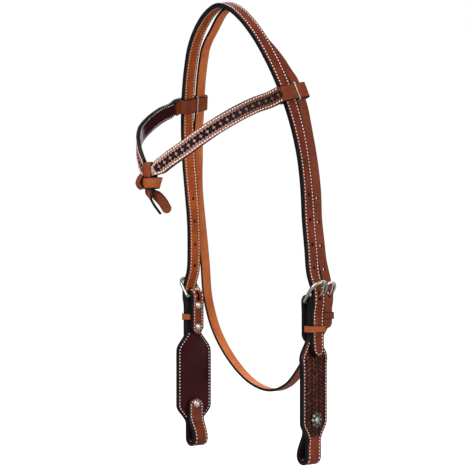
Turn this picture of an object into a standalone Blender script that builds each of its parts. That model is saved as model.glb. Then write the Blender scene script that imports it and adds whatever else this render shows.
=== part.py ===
"""Western headstall: crown strap, throatlatch, knotted browband, cheekpieces and their hardware.

Metres. +Z is up, -Y is the horse's front and +X is its near (left) side.
The origin is the underside of the crown strap at the poll, midway between the cheeks.
Each cheek buckle has a local frame: x outward from the head, y back, z up, with its zero on the buckle bar.
"""

import math

import bmesh
import bpy
from mathutils import Matrix, Vector

# Leather and clearances
PLY = 0.0025                  # thickness of one ply of the crown strap and the cheekpieces
THROAT_PLY = 0.0030           # the throatlatch is one thicker ply
BROW_PLY = 0.0022             # plies of the browband and its loops
SEAT = 0.0003                 # gap between pieces that touch
OVERRUN = 0.004               # how far a cutter passes what it cuts

# Crown strap
STRAP_WIDTH = 0.0160
HALF_SPAN = 0.0975            # from the middle to the crown strap at mid-cheek height
CROWN_DROP = 0.2900           # from the poll to where the billet enters the buckle
CROWN_SETBACK = 0.0400        # how far behind the poll the cheeks hang
CROWN_TILT = 11.0             # degrees that its back edge is higher at the poll
CROWN_TURN = 8.5              # degrees that the strap turns at cheek height
BILLET_BELOW_BAR = 0.0576
HOLE_RADIUS = 0.0019
HOLE_PITCH = 0.0254
FIRST_HOLE = 0.0352           # above the buckle bar
CROWN_HOLES = 4               # free holes above the buckled one
TONGUE_SLOT_WIDTH = 0.0042
TONGUE_SLOT_LENGTH = 0.0090
TONGUE_SLOT_HEIGHT = 0.0056   # slot's middle above the bar

# Shares of HALF_SPAN, CROWN_SETBACK and CROWN_DROP, from the poll to the near buckle
CROWN_ROUTE_SHARES = (
    (0.000, 0.00, 0.000), (0.200, 0.01, 0.020), (0.370, 0.04, 0.061), (0.554, 0.12, 0.130),
    (0.700, 0.255, 0.215), (0.832, 0.42, 0.319), (0.930, 0.58, 0.430), (0.986, 0.74, 0.561),
    (1.000, 0.86, 0.690), (1.000, 0.94, 0.820), (1.015, 0.98, 0.906), (1.040, 1.00, 1.000),
)

# Cheek buckles
BAR_OUT = 0.0010              # each cheek buckle's bar is this far outside HALF_SPAN
BAR_BELOW_CROWN = 0.0273      # from CROWN_DROP down to the bars
WIRE_RADIUS = 0.0019
BAR_PLAY = 0.00035            # between a bar and the fold that hangs from it
BUCKLE_INSIDE = 0.0170        # inner width of the frame
BUCKLE_LEG = 0.0160           # straight legs, before the arch
BUCKLE_ARCH = 0.0110
BUCKLE_CORNER = 0.0025
BUCKLE_LEAN = 39.5            # degrees that the frame leans out from the cheek
TONGUE_RADIUS = 0.0011
TONGUE_EYE_WALL = 0.0015
TONGUE_EYE_WIDTH = 0.0040
# Shares of BUCKLE_LEG + BUCKLE_ARCH: the tongue's middle line as (lift off the frame, distance along it)
TONGUE_ROUTE_SHARES = ((0.051, 0.104), (0.132, 0.288), (0.214, 0.488), (0.228, 0.695), (0.184, 0.881),
                       (0.127, 1.010), (0.097, 1.125))

# Cheekpieces
CHAPE_LENGTH = 0.0430         # folded tab below the bar, inside
CHAPE_SLOT_DROP = 0.0050      # the tongue's slot runs this far below the bar
CHAPE_SLOT_WIDTH = 0.0050
NECK_SETTLE = 0.0120          # the fold closes to the neck's thickness over this height
KEEPER_WALL = 0.0011
NECK_LENGTH = 0.0380
SHOULDER_END = 0.0620
PADDLE_HALF_WIDTH = 0.0215
PADDLE_END = 0.1260
TAIL_START = 0.1470
TAIL_HALF_WIDTH = 0.0095
BIT_LOOP_REACH = 0.0480       # from the concho to the lowest point of the bit loop
CHEEK_TURN = 11.5             # degrees that the paddle turns against its neck
TURN_END = 0.0160             # the turn fades over this height above the shoulder and below the paddle
LOOP_OPENING = 0.0080         # clear width of the bit loop
LOOP_BELOW_CONCHO = 0.0140    # the bit loop's strands meet this far below the concho
TAB_ABOVE_CONCHO = 0.0070

# Screws and conchos
SCREW_DROPS = (0.0105, 0.0352)
CONCHO_DROP = 0.1240
SCREW_HEAD_RADIUS = 0.0040
SCREW_HEAD_HEIGHT = 0.0019
POST_RADIUS = 0.0020
POST_BORE = 0.0013
SHANK_RADIUS = 0.0010
POST_FLANGE = 0.0008
CONCHO_RADIUS = 0.0085
CONCHO_RIM = 0.0010
CONCHO_RISE = 0.0036
CONCHO_LOBES = 8

# Keepers
KEEPER_HEIGHT = 0.0074
KEEPER_PLAY = 0.0004
KEEPER_CORNER = 0.0012
NEAR_KEEPER_DROP = 0.0286
OFF_KEEPER_DROP = 0.0240
THROAT_KEEPER_DROP = 0.0180

# Throatlatch
THROAT_WIDTH = 0.0127
STRAP_SPACING = 0.0024        # between the crown strap and the throatlatch in the browband's loops
THROAT_TUCK = 0.0115          # how far the throatlatch slips under the crown strap at the poll
THROAT_BAR_INSET = 0.0055     # the throat buckle's bar is this far inside HALF_SPAN
THROAT_BAR_BEHIND = 0.0245    # and this far behind the cheek buckle's
THROAT_BAR_ABOVE = 0.0023     # and this far above it
THROAT_WIRE_RADIUS = 0.0016
THROAT_BUCKLE_INSIDE = 0.0141
THROAT_BUCKLE_LEG = 0.0120
THROAT_BUCKLE_ARCH = 0.0085
THROAT_BUCKLE_LEAN = 33.0
OFF_THROAT_TURN = 17.0        # degrees that the strap turns outward on the off side
THROAT_TONGUE_RADIUS = 0.0010
THROAT_SLOT_WIDTH = 0.0036
THROAT_SLOT_LENGTH = 0.0078
THROAT_SLOT_HEIGHT = 0.0040   # slot's middle above the bar
THROAT_BILLET_BELOW_BAR = 0.0310
THROAT_CHAPE_LENGTH = 0.0260
THROAT_HOLES = 4
THROAT_FIRST_HOLE = 0.0310    # above the bar
THROAT_LAST_HOLE = 0.0205     # below the bar
# Shares of CROWN_DROP down the crown strap, of HALF_SPAN outward and of STRAP_SPACING behind it
NEAR_THROAT_SHARES = ((0.472, -0.018, 0.45), (0.590, -0.026, 0.45), (0.693, -0.024, 0.45),
                      (0.793, -0.037, 0.60), (0.878, -0.038, 0.94), (0.955, -0.046, 1.80))
OFF_THROAT_SHARES = ((0.440, -0.005, 0.45), (0.540, 0.030, 0.45), (0.640, 0.074, 0.50),
                     (0.803, 0.073, 0.70), (0.951, 0.025, 1.60))
# Shares of HALF_SPAN, CROWN_SETBACK and CROWN_DROP, from the off cheek under the throat to the near buckle
THROAT_ARC_SHARES = ((-1.056, 1.59, 1.112), (-0.944, 1.655, 1.226), (-0.698, 1.78, 1.347), (-0.308, 1.85, 1.434),
                     (0.000, 1.83, 1.449), (0.308, 1.74, 1.420), (0.615, 1.63, 1.335), (0.841, 1.605, 1.233),
                     (0.918, 1.61, 1.198))
# Shares of HALF_SPAN, CROWN_SETBACK and CROWN_DROP, from the throat buckle up to the near cheek
THROAT_BILLET_SHARES = ((0.997, 1.615, 1.042), (0.984, 1.57, 1.007))
THROAT_TONGUE_ROUTE_SHARES = ((0.060, 0.105), (0.133, 0.250), (0.213, 0.412), (0.238, 0.621), (0.206, 0.821),
                              (0.152, 0.970), (0.127, 1.090))

# Browband
BROW_WIDTH = 0.0170
BROW_LOOP_DROP = 0.1010       # from the poll to the loops' middle
BROW_LOOP_PLAY = 0.0012       # lets the loops slide on the straps
BROW_LOOP_LEAD = 0.0035       # how far a loop runs past the crown strap's front edge
BROW_LOOP_TUCK = (0.0055, 0.0120)  # where the loop's inner end lies under the band, along the band
DIVIDER_RADIUS = 0.0007       # wire that goes round a loop between the two straps
# Shares of HALF_SPAN, of KNOT_FRONT and of the height from the loops down to the knot
BROW_ROUTE_SHARES = ((0.868, 0.061, 0.075), (0.824, 0.212, 0.143), (0.779, 0.347, 0.222), (0.727, 0.490, 0.323),
                     (0.651, 0.637, 0.446), (0.544, 0.751, 0.575), (0.413, 0.841, 0.709), (0.272, 0.918, 0.831),
                     (0.140, 0.976, 0.943))
BROW_TURN_LENGTH = 0.0300     # over which the band turns from its loop's lean to upright
KNOT_FRONT = 0.0980           # how far the knot is in front of the poll
KNOT_DROP = 0.1815            # from the poll to the middle of the lapped ends
KNOT_LAP = 0.0110             # width of the two lapped ends
KNOT_LAP_HALF_HEIGHT = 0.0050
KNOT_TAPER = 0.0140
BROW_FACE_STOP = 0.0072       # the tooled plies stop this far from the middle
THONG_WIDTH = 0.0100
THONG_PLY = 0.0024
WRAP_HEIGHT = 0.0120
WRAP_DROP = 0.0120            # from the lapped ends down to the wrap's middle
WRAP_HALF_WIDTH = 0.0085
WRAP_FLARE = 0.0025           # how much more its half sizes are at the top
WRAP_SHIFT = 0.0018
TAIL_DROP = 0.0255            # from the wrap down to the tips
NEAR_TAIL_TURN = 50.0         # degrees that each tail turns about its length
OFF_TAIL_TURN = -40.0
# Shares of TAIL_DROP, from the wrap to the tips
NEAR_TAIL_SHARES = ((0.05, 0.20, 0.20), (0.18, 0.45, 0.50), (0.31, 0.69, 0.96))
OFF_TAIL_SHARES = ((-0.01, 0.03, 0.24), (-0.06, 0.28, 0.58), (-0.12, 0.70, 1.00))

# Facets
STEP_LONG = 0.020             # longest facet along a strap
TURN_STEP = 12.0               # largest turn between facets, in degrees
ROUND_SIDES = 10
WIRE_SIDES = 8
ARCH_STEPS = 10
END_STEPS = 3

# Worked out from the sizes above
BAR_SPAN = HALF_SPAN + BAR_OUT
BAR_DROP = CROWN_DROP + BAR_BELOW_CROWN
CHEEK_LENGTH = CONCHO_DROP + BIT_LOOP_REACH
LOOP_TOP = CONCHO_DROP + LOOP_BELOW_CONCHO
BIT_TAB_TOP = CONCHO_DROP - TAB_ABOVE_CONCHO
THROAT_BAR = (HALF_SPAN - THROAT_BAR_INSET, CROWN_SETBACK + THROAT_BAR_BEHIND, THROAT_BAR_ABOVE - BAR_DROP)
STRAP_HALF = PLY + SEAT / 2
FOLD_INSIDE = WIRE_RADIUS + BAR_PLAY
FOLD_MIDDLE = FOLD_INSIDE + STRAP_HALF
FOLD_OUTSIDE = FOLD_INSIDE + 2 * STRAP_HALF
NECK_MIDDLE = SEAT / 2 + STRAP_HALF
NECK_FACE = NECK_MIDDLE + STRAP_HALF
BILLET_ON_BAR = FOLD_OUTSIDE + 2 * SEAT + STRAP_HALF
BILLET_ON_NECK = NECK_FACE + 2 * SEAT + STRAP_HALF
BILLET_FACE = BILLET_ON_NECK + STRAP_HALF
CHAPE_GAP = KEEPER_WALL + KEEPER_PLAY + SEAT
CHAPE_MIDDLE = SEAT / 2 - CHAPE_GAP - STRAP_HALF
TAB_MIDDLE = -SEAT / 2 - STRAP_HALF
LOOP_RADIUS = LOOP_OPENING / 2 + STRAP_HALF
LOOP_CENTRE = NECK_MIDDLE - LOOP_RADIUS
THROAT_FOLD_INSIDE = THROAT_WIRE_RADIUS + BAR_PLAY
THROAT_FOLD_MIDDLE = THROAT_FOLD_INSIDE + THROAT_PLY / 2
THROAT_ON_BAR = THROAT_FOLD_INSIDE + THROAT_PLY + SEAT + THROAT_PLY / 2
THROAT_STRAND = SEAT / 2 + THROAT_PLY / 2
THROAT_ON_STRAND = SEAT / 2 + THROAT_PLY + SEAT + THROAT_PLY / 2
THROAT_OFFSET = (STRAP_WIDTH + THROAT_WIDTH) / 2 + STRAP_SPACING
BROW_HALF = BROW_PLY + SEAT / 2
LOOP_HALF = STRAP_HALF + BROW_LOOP_PLAY
LOOP_MIDDLE = LOOP_HALF + BROW_PLY / 2
BROW_ON_LOOP = LOOP_MIDDLE - BROW_PLY / 2 - SEAT / 2
UP = Vector((0, 0, 1))
BACK = Vector((0, 1, 0))

# Colour, roughness and metallic value of each material
FINISHES = {
    "russet_leather": ((0.19, 0.055, 0.025), 0.5, 0),
    "tan_lining": ((0.42, 0.14, 0.05), 0.6, 0),
    "burgundy_leather": ((0.045, 0.012, 0.014), 0.4, 0),
    "tooled_leather": ((0.11, 0.03, 0.018), 0.5, 0),
    "brow_leather": ((0.5, 0.28, 0.25), 0.55, 0),
    "keeper_leather": ((0.3, 0.08, 0.025), 0.5, 0),
    "dark_leather": ((0.2, 0.07, 0.03), 0.5, 0),
    "antique_nickel": ((0.42, 0.41, 0.36), 0.3, 1),
    "bright_nickel": ((0.75, 0.73, 0.68), 0.2, 1),
}


def clear_scene():
    for thing in list(bpy.data.objects):
        bpy.data.objects.remove(thing, do_unlink=True)


def finish(name):
    """A Principled material in one of the colours above, made once."""
    found = bpy.data.materials.get(name)
    if found:
        return found
    colour, roughness, metallic = FINISHES[name]
    made = bpy.data.materials.new(name)
    made.use_nodes = True
    shader = made.node_tree.nodes["Principled BSDF"]
    shader.inputs["Base Color"].default_value = (*colour, 1)
    shader.inputs["Roughness"].default_value = roughness
    shader.inputs["Metallic"].default_value = metallic
    return made


def ease(value, low, high):
    """0 below low, 1 above high and a smooth rise between."""
    t = min(max((value - low) / (high - low), 0), 1)
    return t * t * (3 - 2 * t)


def mix(a, b, share):
    return a + (b - a) * share


def add_object(name, mesh_data, material, smooth=False):
    mesh = bpy.data.meshes.new(name)
    mesh_data.to_mesh(mesh)
    mesh_data.free()
    if smooth:
        mesh.shade_smooth()
        mesh.set_sharp_from_angle(angle=math.radians(40))
    mesh.materials.append(finish(material))
    made = bpy.data.objects.new(name, mesh)
    bpy.context.scene.collection.objects.link(made)
    return made


def loft(rings, closed=False):
    """A closed body through rings of points, with caps at its two ends unless the rings form a loop."""
    data = bmesh.new()
    built = [[data.verts.new(point) for point in ring] for ring in rings]
    sides = len(built[0])
    pairs = list(zip(built, built[1:]))
    if closed:
        pairs.append((built[-1], built[0]))
    for ring, following in pairs:
        for i in range(sides):
            j = (i + 1) % sides
            data.faces.new((ring[i], ring[j], following[j], following[i]))
    if not closed:
        data.faces.new(built[0][::-1])
        data.faces.new(built[-1])
    bmesh.ops.triangulate(data, faces=data.faces[:])
    bmesh.ops.recalc_face_normals(data, faces=data.faces[:])
    return data


def turned(profile, centre, axis, side_axis, sides=ROUND_SIDES, lobes=0, lobe_depth=0):
    """A body turned from (along, radius) pairs about an axis. Its rim may be scalloped into lobes."""
    other = axis.cross(side_axis)
    data = bmesh.new()
    rings = []
    for along, radius, *share in profile:
        depth = lobe_depth * (share[0] if share else 0)
        if radius == 0:
            rings.append([data.verts.new(centre + axis * along)])
            continue
        ring = []
        for i in range(sides):
            angle = 2 * math.pi * i / sides
            reach = radius - depth * (1 - math.cos(lobes * angle)) / 2
            spoke = side_axis * math.cos(angle) + other * math.sin(angle)
            ring.append(data.verts.new(centre + axis * along + spoke * reach))
        rings.append(ring)
    for ring, following in zip(rings, rings[1:]):
        for i in range(sides):
            j = (i + 1) % sides
            corners = [ring[i % len(ring)], ring[j % len(ring)],
                       following[j % len(following)], following[i % len(following)]]
            data.faces.new(list(dict.fromkeys(corners)))
    bmesh.ops.triangulate(data, faces=data.faces[:])
    bmesh.ops.recalc_face_normals(data, faces=data.faces[:])
    return data


def merged(parts):
    """Several bodies in one mesh."""
    whole = bmesh.new()
    for part in parts:
        copy = bpy.data.meshes.new("part")
        part.to_mesh(copy)
        part.free()
        whole.from_mesh(copy)
        bpy.data.meshes.remove(copy)
    return whole


def tube(points, radius, sides=WIRE_SIDES, closed=False, flat_normal=None):
    """Round wire along points. flat_normal is the direction square to the plane that the wire is bent in."""
    rings = []
    count = len(points)
    for i, point in enumerate(points):
        before = points[i - 1] if closed or i else point
        after = points[(i + 1) % count] if closed or i < count - 1 else point
        tangent = (after - before).normalized()
        side = flat_normal.normalized()
        lift = tangent.cross(side)
        rings.append([point + radius * (side * math.cos(2 * math.pi * k / sides)
                                        + lift * math.sin(2 * math.pi * k / sides)) for k in range(sides)])
    return loft(rings, closed)


def smooth_path(points, subdivisions=10):
    """A smooth curve through points that may be unevenly spaced."""
    spans = [(b - a).length for a, b in zip(points, points[1:])]
    slopes = [(points[1] - points[0]) / spans[0]]
    for i in range(1, len(points) - 1):
        back, ahead = spans[i - 1], spans[i]
        slopes.append(((points[i] - points[i - 1]) / back * ahead
                       + (points[i + 1] - points[i]) / ahead * back) / (back + ahead))
    slopes.append((points[-1] - points[-2]) / spans[-1])
    path = []
    for i, span in enumerate(spans):
        for k in range(subdivisions):
            t = k / subdivisions
            path.append(points[i] * (2 * t ** 3 - 3 * t ** 2 + 1) + slopes[i] * (span * (t ** 3 - 2 * t ** 2 + t))
                        + points[i + 1] * (3 * t ** 2 - 2 * t ** 3) + slopes[i + 1] * (span * (t ** 3 - t ** 2)))
    path.append(points[-1].copy())
    return path


class Route:
    """A strap's middle line with its width direction and its outward face at any distance along it."""

    def __init__(self, points, across_at, turn_step=TURN_STEP, step=STEP_LONG):
        self.points = smooth_path(points)
        self.across_at = across_at
        self.lengths = [0]
        for a, b in zip(self.points, self.points[1:]):
            self.lengths.append(self.lengths[-1] + (b - a).length)
        self.length = self.lengths[-1]
        self.turn_step = math.radians(turn_step)
        self.step = step

    def place(self, distance):
        distance = min(max(distance, 0), self.length)
        i = 0
        while i < len(self.lengths) - 2 and self.lengths[i + 1] < distance:
            i += 1
        span = self.lengths[i + 1] - self.lengths[i]
        share = (distance - self.lengths[i]) / span
        point = self.points[i].lerp(self.points[i + 1], share)
        early = self.points[max(i - 1, 0)]
        late = self.points[min(i + 2, len(self.points) - 1)]
        tangent = (mix(self.points[i] - early, self.points[i + 1] - self.points[i], 0.5 + share / 2) if i
                   else self.points[1] - self.points[0])
        tangent = tangent + (late - self.points[i + 1]) * (share / 2)
        tangent.normalize()
        across = self.across_at(point, distance)
        across = (across - tangent * across.dot(tangent)).normalized()
        return point, across, across.cross(tangent)

    def marks(self, start=0.0, stop=None, end_radii=(0, 0)):
        """Distances of the facets: close where the strap turns, far apart where it is straight."""
        stop = self.length if stop is None else stop
        found = []
        last, turn = start, 0.0
        for i in range(1, len(self.points) - 1):
            if not start < self.lengths[i] < stop:
                continue
            a = self.points[i] - self.points[i - 1]
            b = self.points[i + 1] - self.points[i]
            turn += a.angle(b)
            if turn >= self.turn_step or self.lengths[i] - last >= self.step:
                found.append(self.lengths[i])
                last, turn = self.lengths[i], 0.0
        ends = [start, stop]
        for k in range(1, END_STEPS + 1):
            share = 1 - math.cos(math.pi / 2 * k / END_STEPS)
            if end_radii[0]:
                ends.append(start + end_radii[0] * share)
            if end_radii[1]:
                ends.append(stop - end_radii[1] * share)
        nearest = self.step / ROUND_SIDES
        low, high = start + end_radii[0] + nearest, stop - end_radii[1] - nearest
        return sorted(set(ends + [d for d in found if low < d < high]))

    def along(self, point):
        """The distance of the route's nearest place to a point."""
        i = min(range(len(self.points)), key=lambda k: (self.points[k] - point).length)
        return self.lengths[i]


def strap_rings(route, marks, half_width, low, high, settle=None, side=1):
    """Rings of a flat strap whose faces lie low and high of its middle line."""
    rings = []
    for distance in marks:
        point, across, out = route.place(distance)
        out = out * side
        half = half_width(distance)
        ring = [point + across * (half * a) + out * offset
                for a, offset in ((-1, low), (1, low), (1, high), (-1, high))]
        rings.append([settle(p) for p in ring] if settle else ring)
    return rings


def rounded_half(distance, length, half, end_radii, tip=0.0):
    """Half the width of a strap whose ends are rounded, with a little left at the very tip."""
    width = half
    for gone, radius in ((distance, end_radii[0]), (length - distance, end_radii[1])):
        if radius and gone < radius:
            width = min(width, half * math.sqrt(max(1 - (1 - gone / radius) ** 2, 0)))
    return max(width, tip)


def cut(piece, cutters, kind="holes"):
    """Takes the cutters, which don't meet each other, out of a piece. They stay in the file as hidden guides."""
    guide = add_object(f"{piece.name}_{kind}_cutter", merged(cutters), "dark_leather")
    guide.hide_render = True
    guide.display_type = "WIRE"
    modifier = piece.modifiers.new(kind, "BOOLEAN")
    modifier.operation = "DIFFERENCE"
    modifier.solver = "EXACT"
    modifier.object = guide


def side_point(side, base, x, y, z):
    """A point of a buckle's local frame in the model. side is 1 on the near side and -1 on the off side."""
    return Vector((side * (base[0] + x), base[1] + y, base[2] + z))


CHEEK_BAR = (BAR_SPAN, CROWN_SETBACK, -BAR_DROP)


def cheek_settle(side):
    """Turns the paddle and what lies on it about the cheek's upright line."""
    def settle(point):
        drop = CHEEK_BAR[2] - point.z
        angle = math.radians(CHEEK_TURN) * (ease(drop, SHOULDER_END - 1.5 * TURN_END, SHOULDER_END + TURN_END / 2)
                                            - ease(drop, PADDLE_END + TURN_END / 2, PADDLE_END + 1.75 * TURN_END))
        x = side * point.x - CHEEK_BAR[0]
        y = point.y - CHEEK_BAR[1]
        turned_x = x * math.cos(angle) - y * math.sin(angle)
        turned_y = x * math.sin(angle) + y * math.cos(angle)
        return Vector((side * (CHEEK_BAR[0] + turned_x), CHEEK_BAR[1] + turned_y, point.z))
    return settle


def neck_shift(drop, on_bar, below):
    """A strand's distance from the bar's upright line, from the bar down to where the fold has closed."""
    return mix(on_bar, below, ease(drop, 0, NECK_SETTLE))


def drops(start, stop, step):
    count = max(1, math.ceil(abs(stop - start) / step))
    return [mix(start, stop, i / count) for i in range(count + 1)]


def crown_side_points():
    """The near half of the crown strap's middle line, from the poll to the billet's tip."""
    tilt = math.radians(CROWN_TILT)
    points = [Vector((HALF_SPAN * x, CROWN_SETBACK * y - STRAP_HALF * math.sin(tilt) * (1 - y),
                      STRAP_HALF * math.cos(tilt) - CROWN_DROP * z)) for x, y, z in CROWN_ROUTE_SHARES]
    for drop in drops(-NECK_SETTLE / 2, NECK_SETTLE, NECK_SETTLE / 6):
        points.append(side_point(1, CHEEK_BAR, neck_shift(drop, BILLET_ON_BAR, BILLET_ON_NECK), 0, -drop))
    for drop in drops(NECK_SETTLE, BILLET_BELOW_BAR, STEP_LONG)[1:]:
        points.append(side_point(1, CHEEK_BAR, BILLET_ON_NECK, 0, -drop))
    return points


def mirrored(point):
    return Vector((-point.x, point.y, point.z))


def crown_across(point, distance):
    share = (STRAP_HALF - point.z) / CROWN_DROP
    angle = math.radians(CROWN_TURN) * ease(share, 0.4, 0.6) * (1 - ease(share, 0.62, 0.82))
    tilt = math.radians(CROWN_TILT) * (1 - ease(share, 0.4, 0.85))
    return Vector((-math.copysign(math.sin(angle), point.x), math.cos(angle) * math.cos(tilt), math.sin(tilt)))


def crown_route():
    """From the near billet's tip over the poll to the off billet's tip."""
    near = crown_side_points()
    return Route(near[:0:-1] + [mirrored(p) for p in near], crown_across, 7)


def bore(route, distance, radius, reach, length=None, settle=None):
    """A cutter square to a strap: round, or an upright slot when it has a length."""
    point, across, out = route.place(distance)
    along = across.cross(out)
    stretch = (length / 2 - radius) if length else 0
    rings = []
    for depth in (-reach, reach):
        ring = []
        for i in range(ROUND_SIDES):
            angle = 2 * math.pi * (i + 0.5) / ROUND_SIDES
            shift = math.copysign(stretch, math.sin(angle))
            ring.append(point + out * depth + across * (radius * math.cos(angle))
                        + along * (radius * math.sin(angle) + shift))
        rings.append(ring)
    return loft(rings)


def build_crown(route):
    ends = (STRAP_WIDTH / 2, STRAP_WIDTH / 2)
    marks = route.marks(end_radii=ends)
    sides = {1: cheek_settle(1), -1: cheek_settle(-1)}

    def settle(point):
        return sides[1 if point.x > 0 else -1](point)

    def half(distance):
        return rounded_half(distance, route.length, STRAP_WIDTH / 2, ends, STRAP_WIDTH / 10)

    holes = []
    for side in (1, -1):
        for k in range(CROWN_HOLES):
            height = FIRST_HOLE + k * HOLE_PITCH
            spot = route.along(side_point(side, CHEEK_BAR, 0, 0, height))
            holes.append((spot, HOLE_RADIUS, None))
        slot = side_point(side, CHEEK_BAR, BILLET_ON_BAR, 0, TONGUE_SLOT_HEIGHT)
        holes.append((route.along(slot), TONGUE_SLOT_WIDTH / 2, TONGUE_SLOT_LENGTH))
    for name, low, high, material in (("crown_outer", SEAT / 2, STRAP_HALF, "russet_leather"),
                                      ("crown_lining", -STRAP_HALF, -SEAT / 2, "tan_lining")):
        ply = add_object(name, loft(strap_rings(route, marks, half, low, high, settle)), material)
        cut(ply, [bore(route, spot, radius, STRAP_HALF + OVERRUN, length) for spot, radius, length in holes])


def cheek_stations():
    """The folded cheekpiece's middle line as (x, z, half width): chape, fold, neck, paddle, tail, bit loop, tab."""
    neck_half = STRAP_WIDTH / 2
    found = []
    for k in range(END_STEPS + 1):
        share = 1 - math.cos(math.pi / 2 * k / END_STEPS)
        drop = CHAPE_LENGTH - neck_half * share
        width = neck_half * math.sqrt(max(1 - (1 - share) ** 2, 0))
        lift = mix(TAB_MIDDLE, CHAPE_MIDDLE, share)
        found.append((lift, -drop, max(width, neck_half / 5)))
    for drop in drops(CHAPE_LENGTH - neck_half, NECK_SETTLE, STEP_LONG)[1:]:
        found.append((CHAPE_MIDDLE, -drop, neck_half))
    for drop in drops(NECK_SETTLE, 0, NECK_SETTLE / 3)[1:]:
        found.append((-neck_shift(drop, FOLD_MIDDLE, -CHAPE_MIDDLE), -drop, neck_half))
    for k in range(1, ARCH_STEPS):
        angle = math.pi - math.pi * k / ARCH_STEPS
        found.append((FOLD_MIDDLE * math.cos(angle), FOLD_MIDDLE * math.sin(angle), neck_half))
    for drop in drops(0, NECK_SETTLE, NECK_SETTLE / 3):
        found.append((neck_shift(drop, FOLD_MIDDLE, NECK_MIDDLE), -drop, neck_half))
    for drop in drops(NECK_SETTLE, NECK_LENGTH, STEP_LONG)[1:]:
        found.append((NECK_MIDDLE, -drop, neck_half))
    for drop in drops(NECK_LENGTH, SHOULDER_END, STEP_LONG / 5)[1:]:
        found.append((NECK_MIDDLE, -drop, mix(neck_half, PADDLE_HALF_WIDTH, ease(drop, NECK_LENGTH - OVERRUN / 2,
                                                                                SHOULDER_END))))
    for drop in drops(SHOULDER_END, PADDLE_END, STEP_LONG * 0.9)[1:]:
        found.append((NECK_MIDDLE, -drop, PADDLE_HALF_WIDTH))
    for drop in drops(PADDLE_END, TAIL_START, STEP_LONG / 4)[1:]:
        found.append((NECK_MIDDLE, -drop, mix(PADDLE_HALF_WIDTH, TAIL_HALF_WIDTH, ease(drop, PADDLE_END, TAIL_START))))
    bottom = CHEEK_LENGTH - STRAP_HALF - LOOP_RADIUS
    for drop in drops(TAIL_START, bottom, STEP_LONG / 2)[1:]:
        found.append((NECK_MIDDLE, -drop, TAIL_HALF_WIDTH))
    arcs = 7
    for k in range(1, arcs):
        angle = -math.pi * k / arcs
        found.append((LOOP_CENTRE + LOOP_RADIUS * math.cos(angle), -bottom + LOOP_RADIUS * math.sin(angle),
                      TAIL_HALF_WIDTH))
    for drop in drops(bottom, LOOP_TOP, (bottom - LOOP_TOP) / 5):
        shift = mix(TAB_MIDDLE, LOOP_CENTRE - LOOP_RADIUS, ease(drop, LOOP_TOP, bottom))
        found.append((shift, -drop, TAIL_HALF_WIDTH))
    for drop in drops(LOOP_TOP, BIT_TAB_TOP + TAIL_HALF_WIDTH, STEP_LONG / 2)[1:]:
        found.append((TAB_MIDDLE, -drop, TAIL_HALF_WIDTH))
    for k in range(END_STEPS - 1, -1, -1):
        share = 1 - math.cos(math.pi / 2 * k / END_STEPS)
        width = TAIL_HALF_WIDTH * math.sqrt(max(1 - (1 - share) ** 2, 0))
        found.append((TAB_MIDDLE, -(BIT_TAB_TOP + TAIL_HALF_WIDTH * share), max(width, TAIL_HALF_WIDTH / 5)))
    return found


def cheek_rings(side, low, high):
    """The plies' outer side is on the left of the way from the chape to the bit tab."""
    stations = cheek_stations()
    settle = cheek_settle(side)
    rings = []
    for i, (x, z, half) in enumerate(stations):
        before = stations[max(i - 1, 0)]
        after = stations[min(i + 1, len(stations) - 1)]
        run = Vector((after[0] - before[0], after[1] - before[1])).normalized()
        out = Vector((-run.y, run.x))
        ring = []
        for a, offset in ((-1, low), (1, low), (1, high), (-1, high)):
            ring.append(settle(side_point(side, CHEEK_BAR, x + out.x * offset, half * a, z + out.y * offset)))
        rings.append(ring)
    return rings


def cheek_bore(side, drop, radius, reach, floor=None):
    """A cutter through the whole fold. A floor widens it for a flush head from there outward."""
    centre = side_point(side, CHEEK_BAR, 0, 0, -drop)
    profile = [(-reach, 0), (-reach, radius)]
    if floor is not None:
        profile += [(floor, radius), (floor, SCREW_HEAD_RADIUS + SEAT), (reach, SCREW_HEAD_RADIUS + SEAT)]
    else:
        profile.append((reach, radius))
    return turned(profile + [(reach, 0)], centre, cheek_out(side, drop), UP)


def cheek_out(side, drop):
    """The outward direction of the cheekpiece at a height."""
    settle = cheek_settle(side)
    base = side_point(side, CHEEK_BAR, 0, 0, -drop)
    tip = side_point(side, CHEEK_BAR, FOLD_OUTSIDE, 0, -drop)
    return (settle(tip) - settle(base)).normalized()


def chape_slot(side):
    """The tongue's slot through the fold, as a box with its lower end below the bar on both strands."""
    reach = FOLD_OUTSIDE + OVERRUN
    corners = []
    for z in (-CHAPE_SLOT_DROP, reach):
        corners.append([side_point(side, CHEEK_BAR, x, y, z)
                        for x, y in ((-reach, -CHAPE_SLOT_WIDTH / 2), (reach, -CHAPE_SLOT_WIDTH / 2),
                                     (reach, CHAPE_SLOT_WIDTH / 2), (-reach, CHAPE_SLOT_WIDTH / 2))])
    return loft(corners)


def build_cheek(side, name):
    clearance = SEAT + POST_RADIUS
    reach = FOLD_OUTSIDE + OVERRUN
    for ply, low, high, material in (("outer", SEAT / 2, STRAP_HALF, "tooled_leather"),
                                     ("lining", -STRAP_HALF, -SEAT / 2, "burgundy_leather")):
        piece = add_object(f"{name}_cheek_{ply}", loft(cheek_rings(side, low, high)), material)
        cutters = [chape_slot(side), cheek_bore(side, CONCHO_DROP, clearance, reach)]
        for drop in SCREW_DROPS:
            cutters.append(cheek_bore(side, drop, clearance, reach, NECK_FACE - POST_FLANGE - SEAT))
        cut(piece, cutters)


def dome(base, radius, height):
    """Profile of a domed head from its flat side at base."""
    steps = 4
    profile = []
    for k in range(steps + 1):
        angle = math.pi / 2 * k / steps
        profile.append((base + height * math.sin(angle), radius * math.cos(angle) if k < steps else 0))
    return profile


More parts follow.
